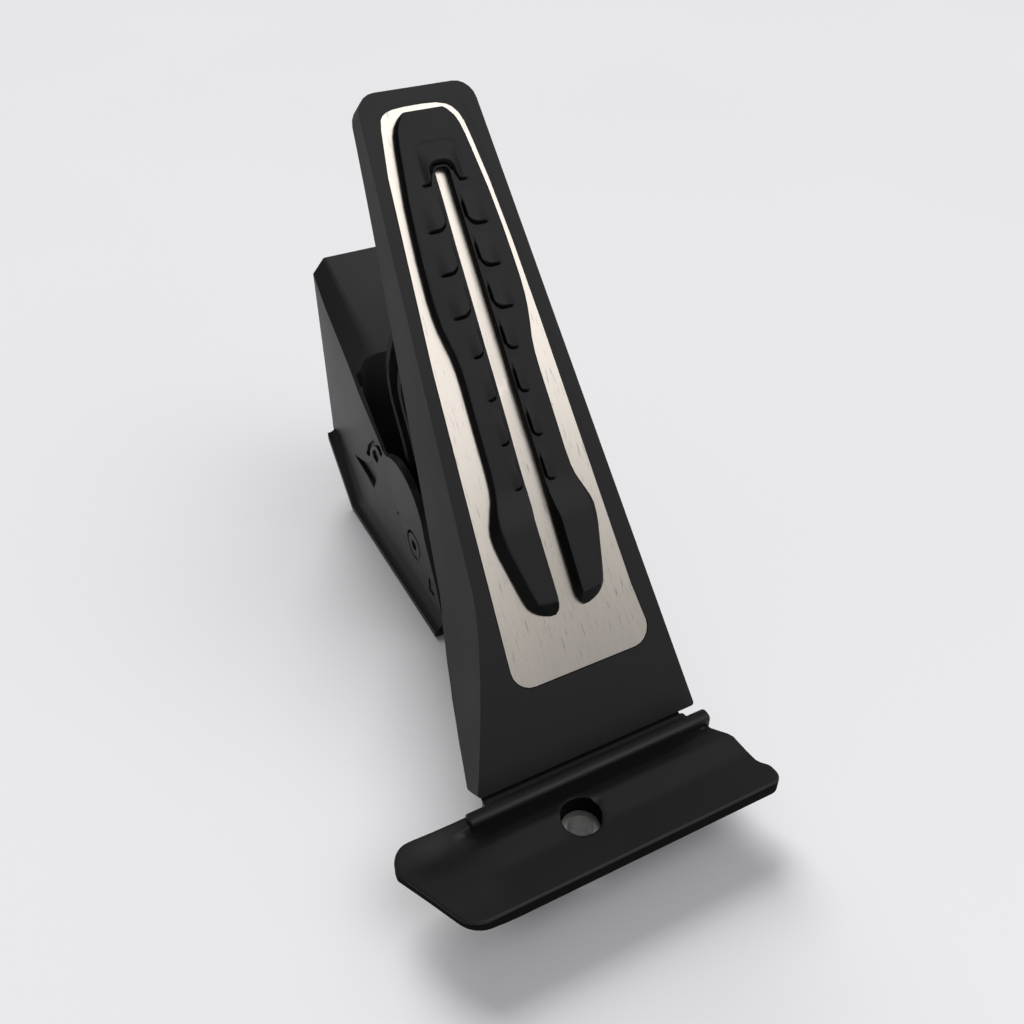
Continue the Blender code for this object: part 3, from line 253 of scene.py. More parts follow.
def brushed_steel(name, color, roughness):
    """Brushed along the tread: long fine lines, with short darker flecks between them."""
    m = Nodes(name, roughness, metallic=1.0, color=color)
    turned = m.coords(rotation=(-TREAD_ANGLE, 0.0, 0.0))
    lines = m.noise(m.stretched(turned, (1.0, 0.018, 1.0)), 3600.0, 4.0, 0.7)
    flecks = m.noise(m.stretched(turned, (1.0, 0.09, 1.0)), 1500.0, 3.0, 0.65)
    base = m.mix(lines, shade(color, 0.86), shade(color, 1.10))
    fleck_mask = m.spread(flecks, 1.0, 0.0, 0.30, 0.40)
    m.feed(m.mix(fleck_mask, base, shade(color, 0.62)), "Base Color")
    m.feed(m.spread(lines, roughness - 0.06, roughness + 0.14), "Roughness")
    m.feed(m.bump(flecks, 0.10, 0.04 * MM, m.bump(lines, 0.22, 0.04 * MM)), "Normal")
    m.shader.inputs["Anisotropic"].default_value = 0.55
    return m.material


def plain_metal(name, color, roughness):
    """Plain metal with a faintly clouded surface."""
    m = Nodes(name, roughness, metallic=1.0, color=color)
    cloud = m.noise(m.coords(), 900.0, 4.0, 0.6)
    m.feed(m.mix(cloud, shade(color, 0.8), color), "Base Color")
    m.feed(m.spread(cloud, roughness - 0.05, roughness + 0.15), "Roughness")
    m.feed(m.bump(cloud, 0.15, 0.04 * MM), "Normal")
    return m.material


def board_material(name):
    """Green lacquer over a pattern of copper tracks."""
    m = Nodes(name, 0.35, color=(0.02, 0.14, 0.06))
    tracks = m.new("ShaderNodeTexBrick")
    tracks.inputs["Scale"].default_value = 420.0
    tracks.inputs["Color1"].default_value = (0.018, 0.13, 0.055, 1.0)
    tracks.inputs["Color2"].default_value = (0.026, 0.17, 0.075, 1.0)
    tracks.inputs["Mortar"].default_value = (0.03, 0.21, 0.10, 1.0)
    m.link(m.coords(rotation=(0.0, math.radians(90.0), 0.0)), tracks.inputs["Vector"])
    m.feed(tracks.outputs["Color"], "Base Color")
    m.feed(m.bump(m.noise(m.coords(), 900.0), 0.1, 0.05 * MM), "Normal")
    return m.material


def floor_material():
    m = Nodes("pale_floor", 0.72, color=(0.78, 0.78, 0.79))
    m.shader.inputs["Specular IOR Level"].default_value = 0.25
    cloud = m.noise(m.coords(), 3.0, 2.0, 0.5)
    m.feed(m.mix(cloud, (0.76, 0.76, 0.77), (0.80, 0.80, 0.81)), "Base Color")
    return m.material


def make_materials():
    return {
        "nylon": moulded_plastic("black_nylon_grained", BLACK, 0.50),
        "side": moulded_plastic("black_nylon_coarse", BLACK, 0.60, grain=0.35, specular=0.25),
        "housing": moulded_plastic("black_nylon_housing", (0.0078, 0.0075, 0.0082), 0.50,
                                   specular=0.46),
        # Darker, duller copy of the black nylon: painted shade for the foot plate's front walls,
        # its bolt hole and the hinge web.
        "rim": moulded_plastic("black_nylon_painted_shade", (0.0036, 0.0034, 0.0038), 0.75,
                               grain=0.30, specular=0.04),
        "foot": moulded_plastic("black_nylon_foot", (0.0058, 0.0055, 0.0061), 0.44, grain=0.18),
        "inner": moulded_plastic("inner_black_plastic", (0.0085, 0.0085, 0.0090), 0.38,
                                 grain=0.10),
        # Darker, duller copy of the black nylon: painted shade for the lever in its recess.
        "lever": moulded_plastic("nylon_dull_painted_shade", (0.0050, 0.0048, 0.0052), 0.66,
                                 grain=0.30, specular=0.14),
        "natural": moulded_plastic("natural_plastic_smooth", (0.62, 0.60, 0.52), 0.38,
                                   grain=0.06, specular=0.5, grain_scale=900.0),
        "steel": brushed_steel("steel_brushed_lengthwise", (0.83, 0.765, 0.680), 0.30),
        "bright": plain_metal("plain_bright_steel", (0.62, 0.61, 0.58), 0.30),
        "spring": plain_metal("spring_steel_wire", (0.36, 0.36, 0.38), 0.32),
        "rubber": rubber("black_rubber_matt", BLACK, 0.50),
        "board": board_material("board_lacquer"),
        "magnet": plain_metal("dark_magnet", (0.10, 0.10, 0.11), 0.45),
        "brass": plain_metal("plain_brass", (0.72, 0.54, 0.26), 0.28),
    }


NODE_MATERIALS = {
    "nylon": ["base_housing", "sensor_cover", "pedal_plate", "film_hinge"],
    "foot": ["foot_plate"],
    "inner": ["lever", "pivot_cap"],
    "natural": ["guide_track", "friction_shoe", "slide_shoe"],
    "steel": ["steel_inlay"],
    "bright": (["foot_sleeve", "lever_axle", "foot_screw_1", "foot_screw_2"]
               + ["cover_screw_%d" % number for number in range(1, 5)]),
    "spring": ["return_spring_left", "return_spring_right", "friction_spring"],
    "rubber": ["rubber_grip", "rest_buffer", "cover_seal"],
    "board": ["sensor_board"],
    "magnet": ["sensor_magnet"],
    "brass": ["lever_bush", "wall_bush"] + ["connector_pin_%d" % number for number in range(1, 7)],
}


def dress_nodes(materials):
    for key, names in NODE_MATERIALS.items():
        for name in names:
            item = nodes[name]
            if not item.material_slots:
                item.data.materials.append(materials[key])
            for slot in item.material_slots:
                slot.material = materials[key]


# Curves and places

def on_tread(x, along, above):
    """Place across the tread, up its face from the foot line and above the face."""
    return FOOT_LINE + Vector((x, 0.0, 0.0)) + UP_FACE * along + OUT_OF_FACE * above


def even_places(low, high, count):
    """Places from low to high, both included, at equal steps."""
    return [low + (high - low) * step / count for step in range(count + 1)]


def smooth_step(value, low, high):
    share = min(max((value - low) / (high - low), 0.0), 1.0)
    return share * share * (3.0 - 2.0 * share)


def bell(distance, width):
    """1 in the middle and falling off smoothly at both sides."""
    return math.exp(-(distance / width) ** 2)


def soft_min(first, second, blend):
    """The smaller of two heights, with the corner between them rounded over."""
    share = min(max(0.5 + 0.5 * (second - first) / blend, 0.0), 1.0)
    return second + (first - second) * share - blend * share * (1.0 - share)


def table_value(table, place):
    """Value from (place, value) pairs, straight between neighbours and held past the ends."""
    if place <= table[0][0]:
        return table[0][1]
    for (start, first), (end, second) in zip(table, table[1:]):
        if place <= end:
            return first + (second - first) * (place - start) / (end - start)
    return table[-1][1]


def curve_point(points, share):
    """Point on a Bezier curve and the curve's direction there."""
    while len(points) > 2:
        points = [first.lerp(second, share) for first, second in zip(points, points[1:])]
    return points[0].lerp(points[1], share), (points[1] - points[0]).normalized()


# Bodies and objects

EDGE_ANGLE = 32.0
COPLANAR_ANGLE = 0.6


def vertex_rows(shape, rows):
    return [[shape.verts.new(Vector(place) * MM) for place in row] for row in rows]


def skin_rows(shape, rows, closed):
    """Faces between neighbouring rows of vertices, where a closed row is a ring."""
    for first, second in zip(rows, rows[1:]):
        for index in range(len(first) if closed else len(first) - 1):
            follow = (index + 1) % len(first)
            shape.faces.new((first[index], first[follow], second[follow], second[index]))


def loft(rings):
    """Closed body through rings of points."""
    shape = bmesh.new()
    rows = vertex_rows(shape, rings)
    skin_rows(shape, rows, closed=True)
    shape.faces.new(reversed(rows[0]))
    shape.faces.new(rows[-1])
    return shape


def side_slab(outline, x0, x1):
    """Body between two side planes, from an outline of (y, z) points."""
    return loft([[(x, y, z) for y, z in outline] for x in (x0, x1)])


def disc(center, radius, low, high, segments=48):
    shape = bmesh.new()
    bmesh.ops.create_cone(shape, cap_ends=True, segments=segments, radius1=radius * MM,
                          radius2=radius * MM, depth=(high - low) * MM)
    middle = Vector((*center, (low + high) / 2.0)) * MM
    bmesh.ops.translate(shape, verts=shape.verts, vec=middle)
    return shape


def face_outwards(shape):
    bmesh.ops.recalc_face_normals(shape, faces=shape.faces)
    if shape.calc_volume(signed=True) < 0.0:
        bmesh.ops.reverse_faces(shape, faces=shape.faces)


def new_object(name, shape):
    mesh = bpy.data.meshes.new(name)
    shape.to_mesh(mesh)
    shape.free()
    item = bpy.data.objects.new(name, mesh)
    bpy.context.scene.collection.objects.link(item)
    return item


def smooth_faces(item, angle):
    """Smooth shading, but for edges sharper than the angle."""
    item.data.shade_smooth()
    item.data.set_sharp_from_angle(angle=math.radians(angle))


def add_piece(name, shape, material, body, replaced, smooth_angle=40.0):
    face_outwards(shape)
    piece = new_object(name, shape)
    piece.data.materials.append(material)
    smooth_faces(piece, smooth_angle)
    if body:
        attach(piece, body)
    if replaced:
        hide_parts(replaced)
    return piece


def merged_shape(item):
    shape = bmesh.new()
    shape.from_mesh(item.data)
    bmesh.ops.remove_doubles(shape, verts=shape.verts, dist=MERGE_DISTANCE)
    return shape


def copy_of(name):
    """Copy of a solid, to be cut and then rounded."""
    return new_object(name + "_shape", merged_shape(nodes[name]))


def rounded_copy(name, body, material, width, segments=2, source=None):
    """The solid, or a changed copy of it, with its edges rounded, shown in place of the solid."""
    shape = merged_shape(source or nodes[name])
    bmesh.ops.dissolve_limit(shape, angle_limit=math.radians(COPLANAR_ANGLE),
                             verts=shape.verts, edges=shape.edges)
    piece = new_object(name + "_rounded", shape)
    piece.data.materials.append(material)
    bevel = piece.modifiers.new("edges", "BEVEL")
    bevel.width = width * MM
    bevel.segments = segments
    bevel.limit_method = "ANGLE"
    bevel.angle_limit = math.radians(EDGE_ANGLE)
    bevel.harden_normals = True
    bevel.use_clamp_overlap = True
    smooth_faces(piece, EDGE_ANGLE)
    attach(piece, body)
    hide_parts(name)
    if source:
        bpy.data.objects.remove(source)
    return piece


def boolean(item, shape, operation):
    """Cuts a body from an object or adds it, and leaves a plain mesh."""
    face_outwards(shape)
    tool = new_object("cutter", shape)
    modifier = item.modifiers.new("shape", "BOOLEAN")
    modifier.object = tool
    modifier.operation = operation
    modifier.solver = "EXACT"
    bpy.context.view_layer.update()
    view = bpy.context.evaluated_depsgraph_get()
    result = bpy.data.meshes.new_from_object(item.evaluated_get(view))
    item.modifiers.clear()
    item.data = result
    bpy.data.objects.remove(tool)


# Tread: width of its rounded edges, and how far a side wall's normal leans sideways

TREAD_EDGE, SIDE_LEAN = 1.0, 0.6


def make_tread(material, side_material):
    """Tread body with rounded edges and a coarser, duller finish on its side walls."""
    tread = rounded_copy("pedal_plate", "pedal", material, TREAD_EDGE, segments=3)
    tread.data.materials.append(side_material)
    for face in tread.data.polygons:
        if abs(face.normal.x) > SIDE_LEAN:
            face.material_index = 1


# Housing: side walls, base line, roof line, and the marks on the left wall as (y, z)

WALL = 16.0
BASE_FRONT, BASE_KNEE, REAR, REAR_FOOT = 80.0, 161.0, 184.8, 24.0
LIP_HEIGHT, LIP_END = 2.2, 182.0
LIP_TAIL_REAR, LIP_TAIL_LOW, LIP_TAIL_TOP, LIP_TAIL_OUT = REAR + 4.0, 18.0, 34.0, 5.0
# The cove's width and height on the lip, its height at the lip's end, how far its body
# reaches into the wall and the lip, and the skin that keeps it clear of the wall's face
COVE_OUT, COVE_UP, COVE_END_UP = 3.3, 6.5, 1.2
COVE_ROOT, COVE_SKIN = 0.6, 0.03
COVE_FRONT, COVE_KNEE_LEAD = BASE_FRONT + 0.3, 30.0
ROOF_TOP, ROOF_SLOPE = 97.2, 0.801
# Along Y: width of the roof's bevel, its drop, and how far its upper edge is rolled over
ROOF_BEVEL = [(129.3, 8.8, 2.1, 0.7), (137.0, 8.6, 2.9, 2.6), (156.5, 8.0, 4.7, 3.8),
              (188.4, 4.2, 4.8, 0.4)]
ROOF_CUTTER_RISE = 6.0
WEDGE = [(160.9, 26.2), (150.6, 29.6), (143.6, 33.2), (139.3, 36.4), (136.0, 36.2),
         (136.4, 31.0), (140.9, 22.8), (146.6, 24.6)]
WEDGE_DEPTH, WEDGE_OUT = 1.6, 4.0
HOUSING_EDGE = 0.6
AXLE = (103.3, 23.3)
# Window as (y, z, width, height), the gap round its clip, and the clip's depth in the wall
WINDOW = (89.6, 14.3, 4.2, 6.2)
CLIP_GAP_Y, CLIP_GAP_Z = 0.8, 0.9
CLIP_FRONT, CLIP_BACK, CLIP_EDGE = 0.3, 1.2, 0.18


def roof_roll(side):
    """Cutter that rolls over the edge between the roof and its bevel."""
    rings = []
    for y, width, drop, reach in ROOF_BEVEL:
        roof = ROOF_TOP - ROOF_SLOPE * (REAR - y)
        edge = Vector((WALL - width, roof))
        inner = edge + Vector((-reach, 0.0))
        outer = edge + Vector((width, -drop)).normalized() * reach
        curve = [curve_point([inner, edge, outer], share)[0] for share in even_places(0.0, 1.0, 6)]
        curve += [Vector((outer.x, roof + ROOF_CUTTER_RISE)),
                  Vector((inner.x, roof + ROOF_CUTTER_RISE))]
        rings.append([(side * point.x, y, point.y) for point in curve])
    shape = loft(rings)
    bmesh.ops.triangulate(shape, faces=shape.faces)
    return shape


def lip_cove(side):
    """Hollow fillet between a side wall and the lip along the base, mitred at the knee."""
    rise = math.atan2(REAR_FOOT, REAR - BASE_KNEE)
    mitre = math.tan(rise / 2.0)
    end_height = REAR_FOOT * (LIP_END - BASE_KNEE) / (REAR - BASE_KNEE)
    root = side * (WALL - COVE_ROOT)
    rings = []
    for y, z, lean, cove_up in ((COVE_FRONT, 0.0, 0.0, COVE_UP),
                                (BASE_KNEE - COVE_KNEE_LEAD, 0.0, 0.0, COVE_UP),
                                (BASE_KNEE, 0.0, -mitre, COVE_UP),
                                (LIP_END, end_height, 0.0, COVE_END_UP)):
        height = LIP_HEIGHT / math.cos(rise) if y > BASE_KNEE else LIP_HEIGHT
        ring = [(root, y, z + height - COVE_ROOT),
                (side * (WALL + COVE_OUT), y, z + height - COVE_ROOT)]
        for angle in even_places(0.0, math.pi / 2.0, 18):
            out = WALL - COVE_SKIN + (COVE_OUT + COVE_SKIN) * (1.0 - math.sin(angle))
            up = cove_up * (1.0 - math.cos(angle))
            ring.append((side * out, y + lean * (height + up), z + height + up))
        ring.append((root, y + lean * (height + cove_up), z + height + cove_up))
        rings.append(ring)
    shape = loft(rings)
    bmesh.ops.triangulate(shape, faces=shape.faces)
    return shape


def make_housing(material):
    """Housing with a rolled roof edge, a cove along its lip and a clear wedge-shaped gap."""
    housing = copy_of("base_housing")
    for side, name in ((-1.0, "lip_cove_left"), (1.0, "lip_cove_right")):
        boolean(housing, roof_roll(side), "DIFFERENCE")
        cove = add_piece(name, lip_cove(side), material, "module", None, smooth_angle=50.0)
    lip_tail = [(LIP_END, LIP_TAIL_LOW), (LIP_TAIL_REAR, LIP_TAIL_LOW),
                (LIP_TAIL_REAR, LIP_TAIL_TOP), (LIP_END, LIP_TAIL_TOP)]
    boolean(housing, side_slab(lip_tail, -WALL - LIP_TAIL_OUT, -WALL - COVE_SKIN), "DIFFERENCE")
    boolean(housing, side_slab(WEDGE, -WALL - WEDGE_OUT, -WALL + WEDGE_DEPTH), "DIFFERENCE")
    rounded_copy("base_housing", "module", material, HOUSING_EDGE, source=housing)


def make_window_clip(material):
    """Small clip that fills the window in the wall, with a dark gap round it."""
    y, z, width, height = WINDOW
    wide, high = width / 2 - CLIP_GAP_Y, height / 2 - CLIP_GAP_Z
    outline = [(y - wide, z - high), (y + wide, z - high),
               (y + wide, z + high), (y - wide, z + high)]
    shape = side_slab(outline, -WALL + CLIP_FRONT, -WALL + CLIP_BACK)
    bmesh.ops.bevel(shape, geom=list(shape.edges), offset=CLIP_EDGE * MM, segments=2,
                    affect="EDGES", profile=0.5)
    piece = add_piece("window_clip", shape, material, "module", None)


# Pivot cap: radius and depth of each circle from the socket outwards to the cap's back,
# where the groove's depth changes round the ring

CAP_RADIUS, CAP_RING = 8.1, 5.3
CAP_FACE = -0.03
CAP_GROOVE = None
CAP_PROFILE = [(1.7, 1.5), (1.95, CAP_FACE), (CAP_RING - 0.55, CAP_FACE),
               (CAP_RING - 0.40, CAP_GROOVE), (CAP_RING + 0.40, CAP_GROOVE),
               (CAP_RING + 0.55, CAP_FACE), (CAP_RADIUS - 0.25, CAP_FACE), (CAP_RADIUS, 0.02),
               (CAP_RADIUS, 1.7)]
SOCKET_STRETCH = 1.25
# The groove's least depth, how much deeper it gets, and at which angle
GROOVE_LEAST, GROOVE_MORE, GROOVE_DEEP_AT = 0.25, 1.15, math.radians(50.0)


def make_cap(material):
    """Pivot cap: a flush disc with an engraved ring, deeper at one side, and an oval socket."""
    rings = []
    for radius, depth in CAP_PROFILE:
        stretch = 1.0 if rings else SOCKET_STRETCH
        ring = []
        for angle in even_places(0.0, 2.0 * math.pi, 64)[:-1]:
            groove = GROOVE_LEAST + GROOVE_MORE * (0.5 + 0.5 * math.cos(angle - GROOVE_DEEP_AT))
            ring.append((-WALL + (groove if depth is CAP_GROOVE else depth),
                         AXLE[0] + radius * math.cos(angle),
                         AXLE[1] + radius * stretch * math.sin(angle)))
        rings.append(ring)
    add_piece("pivot_cap_engraved", loft(rings), material, "module", "pivot_cap", smooth_angle=50.0)


# Lever: its tip on the tread's track, the bends of its arm's centre line as shares along
# the way to the tip and across it, and the pockets between its flanges

LEVER_HALF = 11.9
LEVER_TIP_ALONG, LEVER_TIP_ABOVE = 138.0, -13.0
LEVER_ROOT = Vector((1.0, 4.5))
LEVER_BENDS = [(0.626, 0.0818), (0.3204, 0.4561)]
POCKET_HALF, POCKET_DEPTH, POCKET_OUT = 3.3, 4.5, 3.0
PATH_STEPS, POCKET_SPAN = 40, slice(5, 33)
LEVER_EDGE = 0.4


def lever_path(steps):
    """Centre line of the lever's arm from its hub to its tip, with unit normals."""
    place = on_tread(0.0, LEVER_TIP_ALONG, LEVER_TIP_ABOVE)
    tip = Vector((place.y - AXLE[0], place.z - AXLE[1]))
    across = Vector((tip.y, -tip.x))
    bends = [tip * forward + across * aside for forward, aside in LEVER_BENDS]
    path = []
    for share in even_places(0.0, 1.0, steps):
        here, way = curve_point([LEVER_ROOT, *bends, tip], share)
        path.append((here + Vector(AXLE), Vector((way.y, -way.x))))
    return path


def make_lever(material):
    """Lever whose cross ribs lie deeper in the arm's side pockets than its two flanges."""
    lever = copy_of("lever")
    path = lever_path(PATH_STEPS)[POCKET_SPAN]
    outline = [place + normal * POCKET_HALF for place, normal in path]
    outline += [place - normal * POCKET_HALF for place, normal in reversed(path)]
    for side in (-1.0, 1.0):
        outside, inside = side * (LEVER_HALF + POCKET_OUT), side * (LEVER_HALF - POCKET_DEPTH)
        boolean(lever, side_slab(outline, outside, inside), "DIFFERENCE")
    rounded_copy("lever", "lever_arm", material, LEVER_EDGE, source=lever)


# Rubber grip on the tread: half widths of the grip and of its slot by the place along it

GRIP_BASE = 0.2
GRIP_LOW, GRIP_HIGH = 39.4, 185.0
GRIP_HALF = [(39.4, 6.2), (40.1, 8.3), (41.0, 9.9), (42.2, 11.3), (43.6, 12.3), (46.0, 13.1),
             (50.0, 14.0), (56.7, 15.4), (60.5, 16.2), (63.5, 16.6), (66.5, 16.7), (69.0, 16.2),
             (72.0, 15.1), (76.0, 13.6), (79.0, 13.0), (84.0, 12.7), (98.0, 12.45),
             (108.0, 12.2), (113.0, 12.25), (117.0, 12.6), (121.0, 13.35), (125.0, 14.0),
             (129.0, 14.35), (134.0, 14.45), (142.0, 14.15), (150.0, 13.7), (160.6, 12.8),
             (175.8, 10.75), (179.5, 10.0), (181.8, 9.0), (183.6, 7.5), (184.6, 6.2), (185.0, 5.0)]
SLOT_HALF = [(39.4, 5.2), (39.9, 4.2), (40.8, 3.5), (42.2, 3.0), (44.5, 2.8), (60.0, 2.8),
             (79.0, 2.9), (86.0, 2.85), (98.0, 2.6), (122.0, 2.4), (146.0, 2.1), (158.0, 1.92),
             (168.0, 1.9)]
SLOT_TOP, SLOT_CORNER = 168.0, 1.2
GRIP_TOP, PAD_TOP = 2.35, 3.75
# Where the pads at the leg ends pass into the legs
PAD_END, LEG_START = 64.5, 78.5
# Foot-side edge of each tile, then its inner and outer edge from the slot's middle
GRIP_TILES = [(151.4, 3.3, 8.6), (139.3, 3.45, 8.8), (127.1, 3.55, 8.9), (115.5, 3.6, 6.6),
              (103.0, 3.7, 6.0), (90.1, 3.85, 6.1), (77.1, 3.95, 6.0)]
TILE_RISE, TILE_REACH, TILE_CORNER = 0.95, 9.6, 3.0
TILE_SLOPE, GROOVE_DEPTH, GROOVE_WIDTH = 0.32, 0.70, 0.24
# Where a tile and its grooves fade out: past the outer edge, and up the inner groove
TILE_FADE, GROOVE_FADE, INNER_GROOVE_FADE = (-2.6, 1.4), (-0.5, 0.7), (5.6, 7.0)
# The inner groove beside the tiles is cut deep on the right leg and hardly shows on the left
GROOVE_RIGHT, GROOVE_LEFT = 1.0, 0.15
# Crown: where it starts, its step's place beside the slot, how much further up the step
# lies over the slot, and the step's height, which fades out towards the top
CROWN_START, CROWN_EDGE, CROWN_ARCH, CROWN_RISE = 160.0, 164.3, 3.2, 1.05
CROWN_FADE = (167.0, 176.0)
# Outline round the crown's step: half width, top, corner radius, depth and line width
CROWN_HALF, CROWN_TOP, CROWN_CORNER = 6.0, 174.9, 2.6
OUTLINE_DEPTH, OUTLINE_WIDTH, OUTLINE_FADE = 0.16, 0.7, (158.0, 172.0)
# Heights above the steel at which the grip's slopes start, and their steepness
OUTER_FOOT, OUTER_STEEP, PAD_STEEP = 0.75, 2.4, 1.25
SLOT_FOOT, SLOT_STEEP, PAD_SLOT_STEEP = 1.15, 6.0, 2.0
# The slopes at the leg ends, which bend back towards the outside, and at the crown's top
LEG_FOOT, LEG_STEEP, LEG_BEND = 0.55, 0.78, 0.010
TOP_FOOT, TOP_STEEP = 0.60, 3.0
GRIP_LEAST = 0.3
# Rows of the mesh along the grip: their spacing, and the fine spans at each tile's foot-side
# edge, at the crown's step and at the top
ROW_STEP, FINE_ROW_STEP = 0.4, 0.13
FINE_AT_TILE, FINE_AT_CROWN, FINE_TOP = (-1.2, 2.9), (163.8, 171.5), 183.2
# Columns of the mesh: the band beside the slot where they are closer, and their counts
BAND_START, BAND_END, BAND_COLUMNS = 2.95, 4.45, 16
INNER_COLUMNS, OUTER_COLUMNS = 6, 24


def slot_edge(along):
    """Half width of the slot, which ends in a rounded top."""
    half = table_value(SLOT_HALF, along)
    past = along - (SLOT_TOP - SLOT_CORNER)
    if past <= 0.0:
        return half
    if past >= SLOT_CORNER:
        return 0.0
    return half - SLOT_CORNER + math.sqrt(SLOT_CORNER ** 2 - past ** 2)


def slot_distance(side, along):
    """Distance outwards from the slot's edge, round its top corners too."""
    half = table_value(SLOT_HALF, along)
    past = along - (SLOT_TOP - SLOT_CORNER)
    if past <= 0.0:
        return side - half
    return math.hypot(max(side - half + SLOT_CORNER, 0.0), past) - SLOT_CORNER


def tile_height(side, along, inner_groove):
    """Wedge-shaped tiles: flush at the top, stepped at the foot side and at both edges."""
    for low, inner, outer in GRIP_TILES:
        if not low - 1.2 <= along <= low + TILE_REACH or side > outer + 1.6:
            continue
        corner = min(TILE_CORNER, 0.7 * (outer - inner))
        round_off = min(max(inner + corner - side, 0.0), corner)
        edge = low + corner - math.sqrt(corner ** 2 - round_off ** 2)
        rise = TILE_RISE * (1.0 - (along - low) / TILE_REACH)
        rise *= smooth_step(along, edge - TILE_SLOPE, edge + TILE_SLOPE)
        rise *= smooth_step(side, inner - TILE_SLOPE * 0.6, inner + TILE_SLOPE * 0.6)
        rise *= 1.0 - smooth_step(side - outer, *TILE_FADE)
        below = bell(edge - along - TILE_SLOPE, GROOVE_WIDTH)
        below *= smooth_step(side, inner - 0.4, inner)
        beside = bell(inner - side - TILE_SLOPE * 0.5, GROOVE_WIDTH)
        beside *= smooth_step(along, low + corner - 1.2, low + corner)
        beside *= 1.0 - smooth_step(along - low, *INNER_GROOVE_FADE)
        grooves = max(below, beside * inner_groove)
        grooves *= 1.0 - smooth_step(side - outer, *GROOVE_FADE)
        return max(rise, 0.0) - GROOVE_DEPTH * grooves
    return 0.0


def crown_height(side, along):
    """The crown ends in a stepped arch round the slot, inside a shallow rounded outline."""
    near = slot_distance(side, along)
    edge = CROWN_EDGE + CROWN_ARCH * (1.0 - smooth_step(side, 3.0, 4.6))
    wide, high = side - CROWN_HALF + CROWN_CORNER, along - CROWN_TOP + CROWN_CORNER
    ring = math.hypot(max(wide, 0.0), max(high, 0.0)) + min(max(wide, high), 0.0) - CROWN_CORNER
    rise = smooth_step(along, edge - 0.4, edge + 0.4) * smooth_step(near, 1.3, 2.4)
    rise *= 1.0 - smooth_step(along, *CROWN_FADE)
    rise *= 1.0 - smooth_step(ring, -3.4, 0.6)
    outline = bell(ring, OUTLINE_WIDTH) * smooth_step(along, *OUTLINE_FADE)
    arch = bell(near - 1.2, GROOVE_WIDTH) * smooth_step(along, edge - 0.8, edge)
    wing = bell(edge - along - 0.4, GROOVE_WIDTH) * smooth_step(side, 3.2, 4.0)
    wing *= 1.0 - smooth_step(side, 6.2, 7.2)
    return CROWN_RISE * rise - OUTLINE_DEPTH * outline - GROOVE_DEPTH * max(arch, wing)


def grip_height(x, along):
    """Height of the grip above its base: tiles and crown, with slopes to all its edges."""
    side = abs(x)
    pad = 1.0 - smooth_step(along, PAD_END, LEG_START)
    top = GRIP_TOP + (PAD_TOP - GRIP_TOP) * pad
    top += tile_height(side, along, GROOVE_RIGHT if x > 0.0 else GROOVE_LEFT)
    if along > CROWN_START:
        top += crown_height(side, along)
    outer = table_value(GRIP_HALF, along) - side
    steep = OUTER_STEEP + (PAD_STEEP - OUTER_STEEP) * pad
    height = soft_min(top, OUTER_FOOT + steep * outer, 0.5)
    if along < SLOT_TOP + 3.0:
        steep = SLOT_STEEP + (PAD_SLOT_STEEP - SLOT_STEEP) * pad
        height = soft_min(height, SLOT_FOOT + steep * max(slot_distance(side, along), 0.0), 0.2)
    leg_end = GRIP_LOW + LEG_BEND * side * side
    height = soft_min(height, LEG_FOOT + LEG_STEEP * (along - leg_end), 0.45)
    height = soft_min(height, TOP_FOOT + TOP_STEEP * (GRIP_HIGH - along), 0.5)
    return max(height, GRIP_LEAST)


def grip_rows():
    """Places along the grip, closer together where a tile or the crown steps down."""
    rows = [GRIP_LOW]
    fine = [(low + FINE_AT_TILE[0], low + FINE_AT_TILE[1]) for low, _, _ in GRIP_TILES]
    fine += [FINE_AT_CROWN, (FINE_TOP, GRIP_HIGH)]
    while rows[-1] < GRIP_HIGH - 0.3:
        here = rows[-1]
        close = any(low < here < high for low, high in fine)
        rows.append(here + (FINE_ROW_STEP if close else ROW_STEP))
    return rows + [GRIP_HIGH]


def grip_columns(along):
    """Places from the slot's edge to the grip's outer edge."""
    start, end = slot_edge(along), table_value(GRIP_HALF, along)
    first = max(BAND_START, start + 0.02)
    return (even_places(start, first, INNER_COLUMNS)[:-1]
            + even_places(first, BAND_END, BAND_COLUMNS)[:-1]
            + even_places(BAND_END, end, OUTER_COLUMNS))


def make_grip(material):
    """Two legs and a crown as one height field, with walls down to the steel."""
    shape = bmesh.new()
    for side in (-1.0, 1.0):
        rows = [[on_tread(side * x, along, GRIP_BASE + grip_height(side * x, along))
                 for x in grip_columns(along)] for along in grip_rows()]
        skin_rows(shape, vertex_rows(shape, rows), closed=False)
    bmesh.ops.remove_doubles(shape, verts=shape.verts, dist=MERGE_DISTANCE)
    rim = [edge for edge in shape.edges if edge.is_boundary]
    made = bmesh.ops.extrude_edge_only(shape, edges=rim)["geom"]
    for item in made:
        if isinstance(item, bmesh.types.BMVert):
            above = (item.co - FOOT_LINE * MM).dot(OUT_OF_FACE)
            item.co -= OUT_OF_FACE * (above - GRIP_BASE * MM)
    ring = [item for item in made if isinstance(item, bmesh.types.BMEdge) and item.is_boundary]
    bmesh.ops.edgeloop_fill(shape, edges=ring)
    add_piece("rubber_grip_moulded", shape, material, "pedal", "rubber_grip", smooth_angle=55.0)


# Plastic edge round the steel, as (along, x) pairs up the right side and round the top

STEEL_EDGE = [(28.5, 22.6), (40.0, 21.3), (66.0, 20.05), (97.0, 18.6), (121.0, 17.4),
              (145.0, 15.95), (163.0, 14.4), (175.0, 12.85), (180.5, 11.95), (183.0, 11.0),
              (184.8, 9.6), (185.8, 8.1), (186.6, 5.2), (186.85, 1.1), (186.8, -4.3),
              (186.5, -8.0), (186.0, -9.9), (185.2, -11.2), (184.2, -12.0), (181.6, -12.7),
              (173.5, -14.0), (168.1, -14.85)]
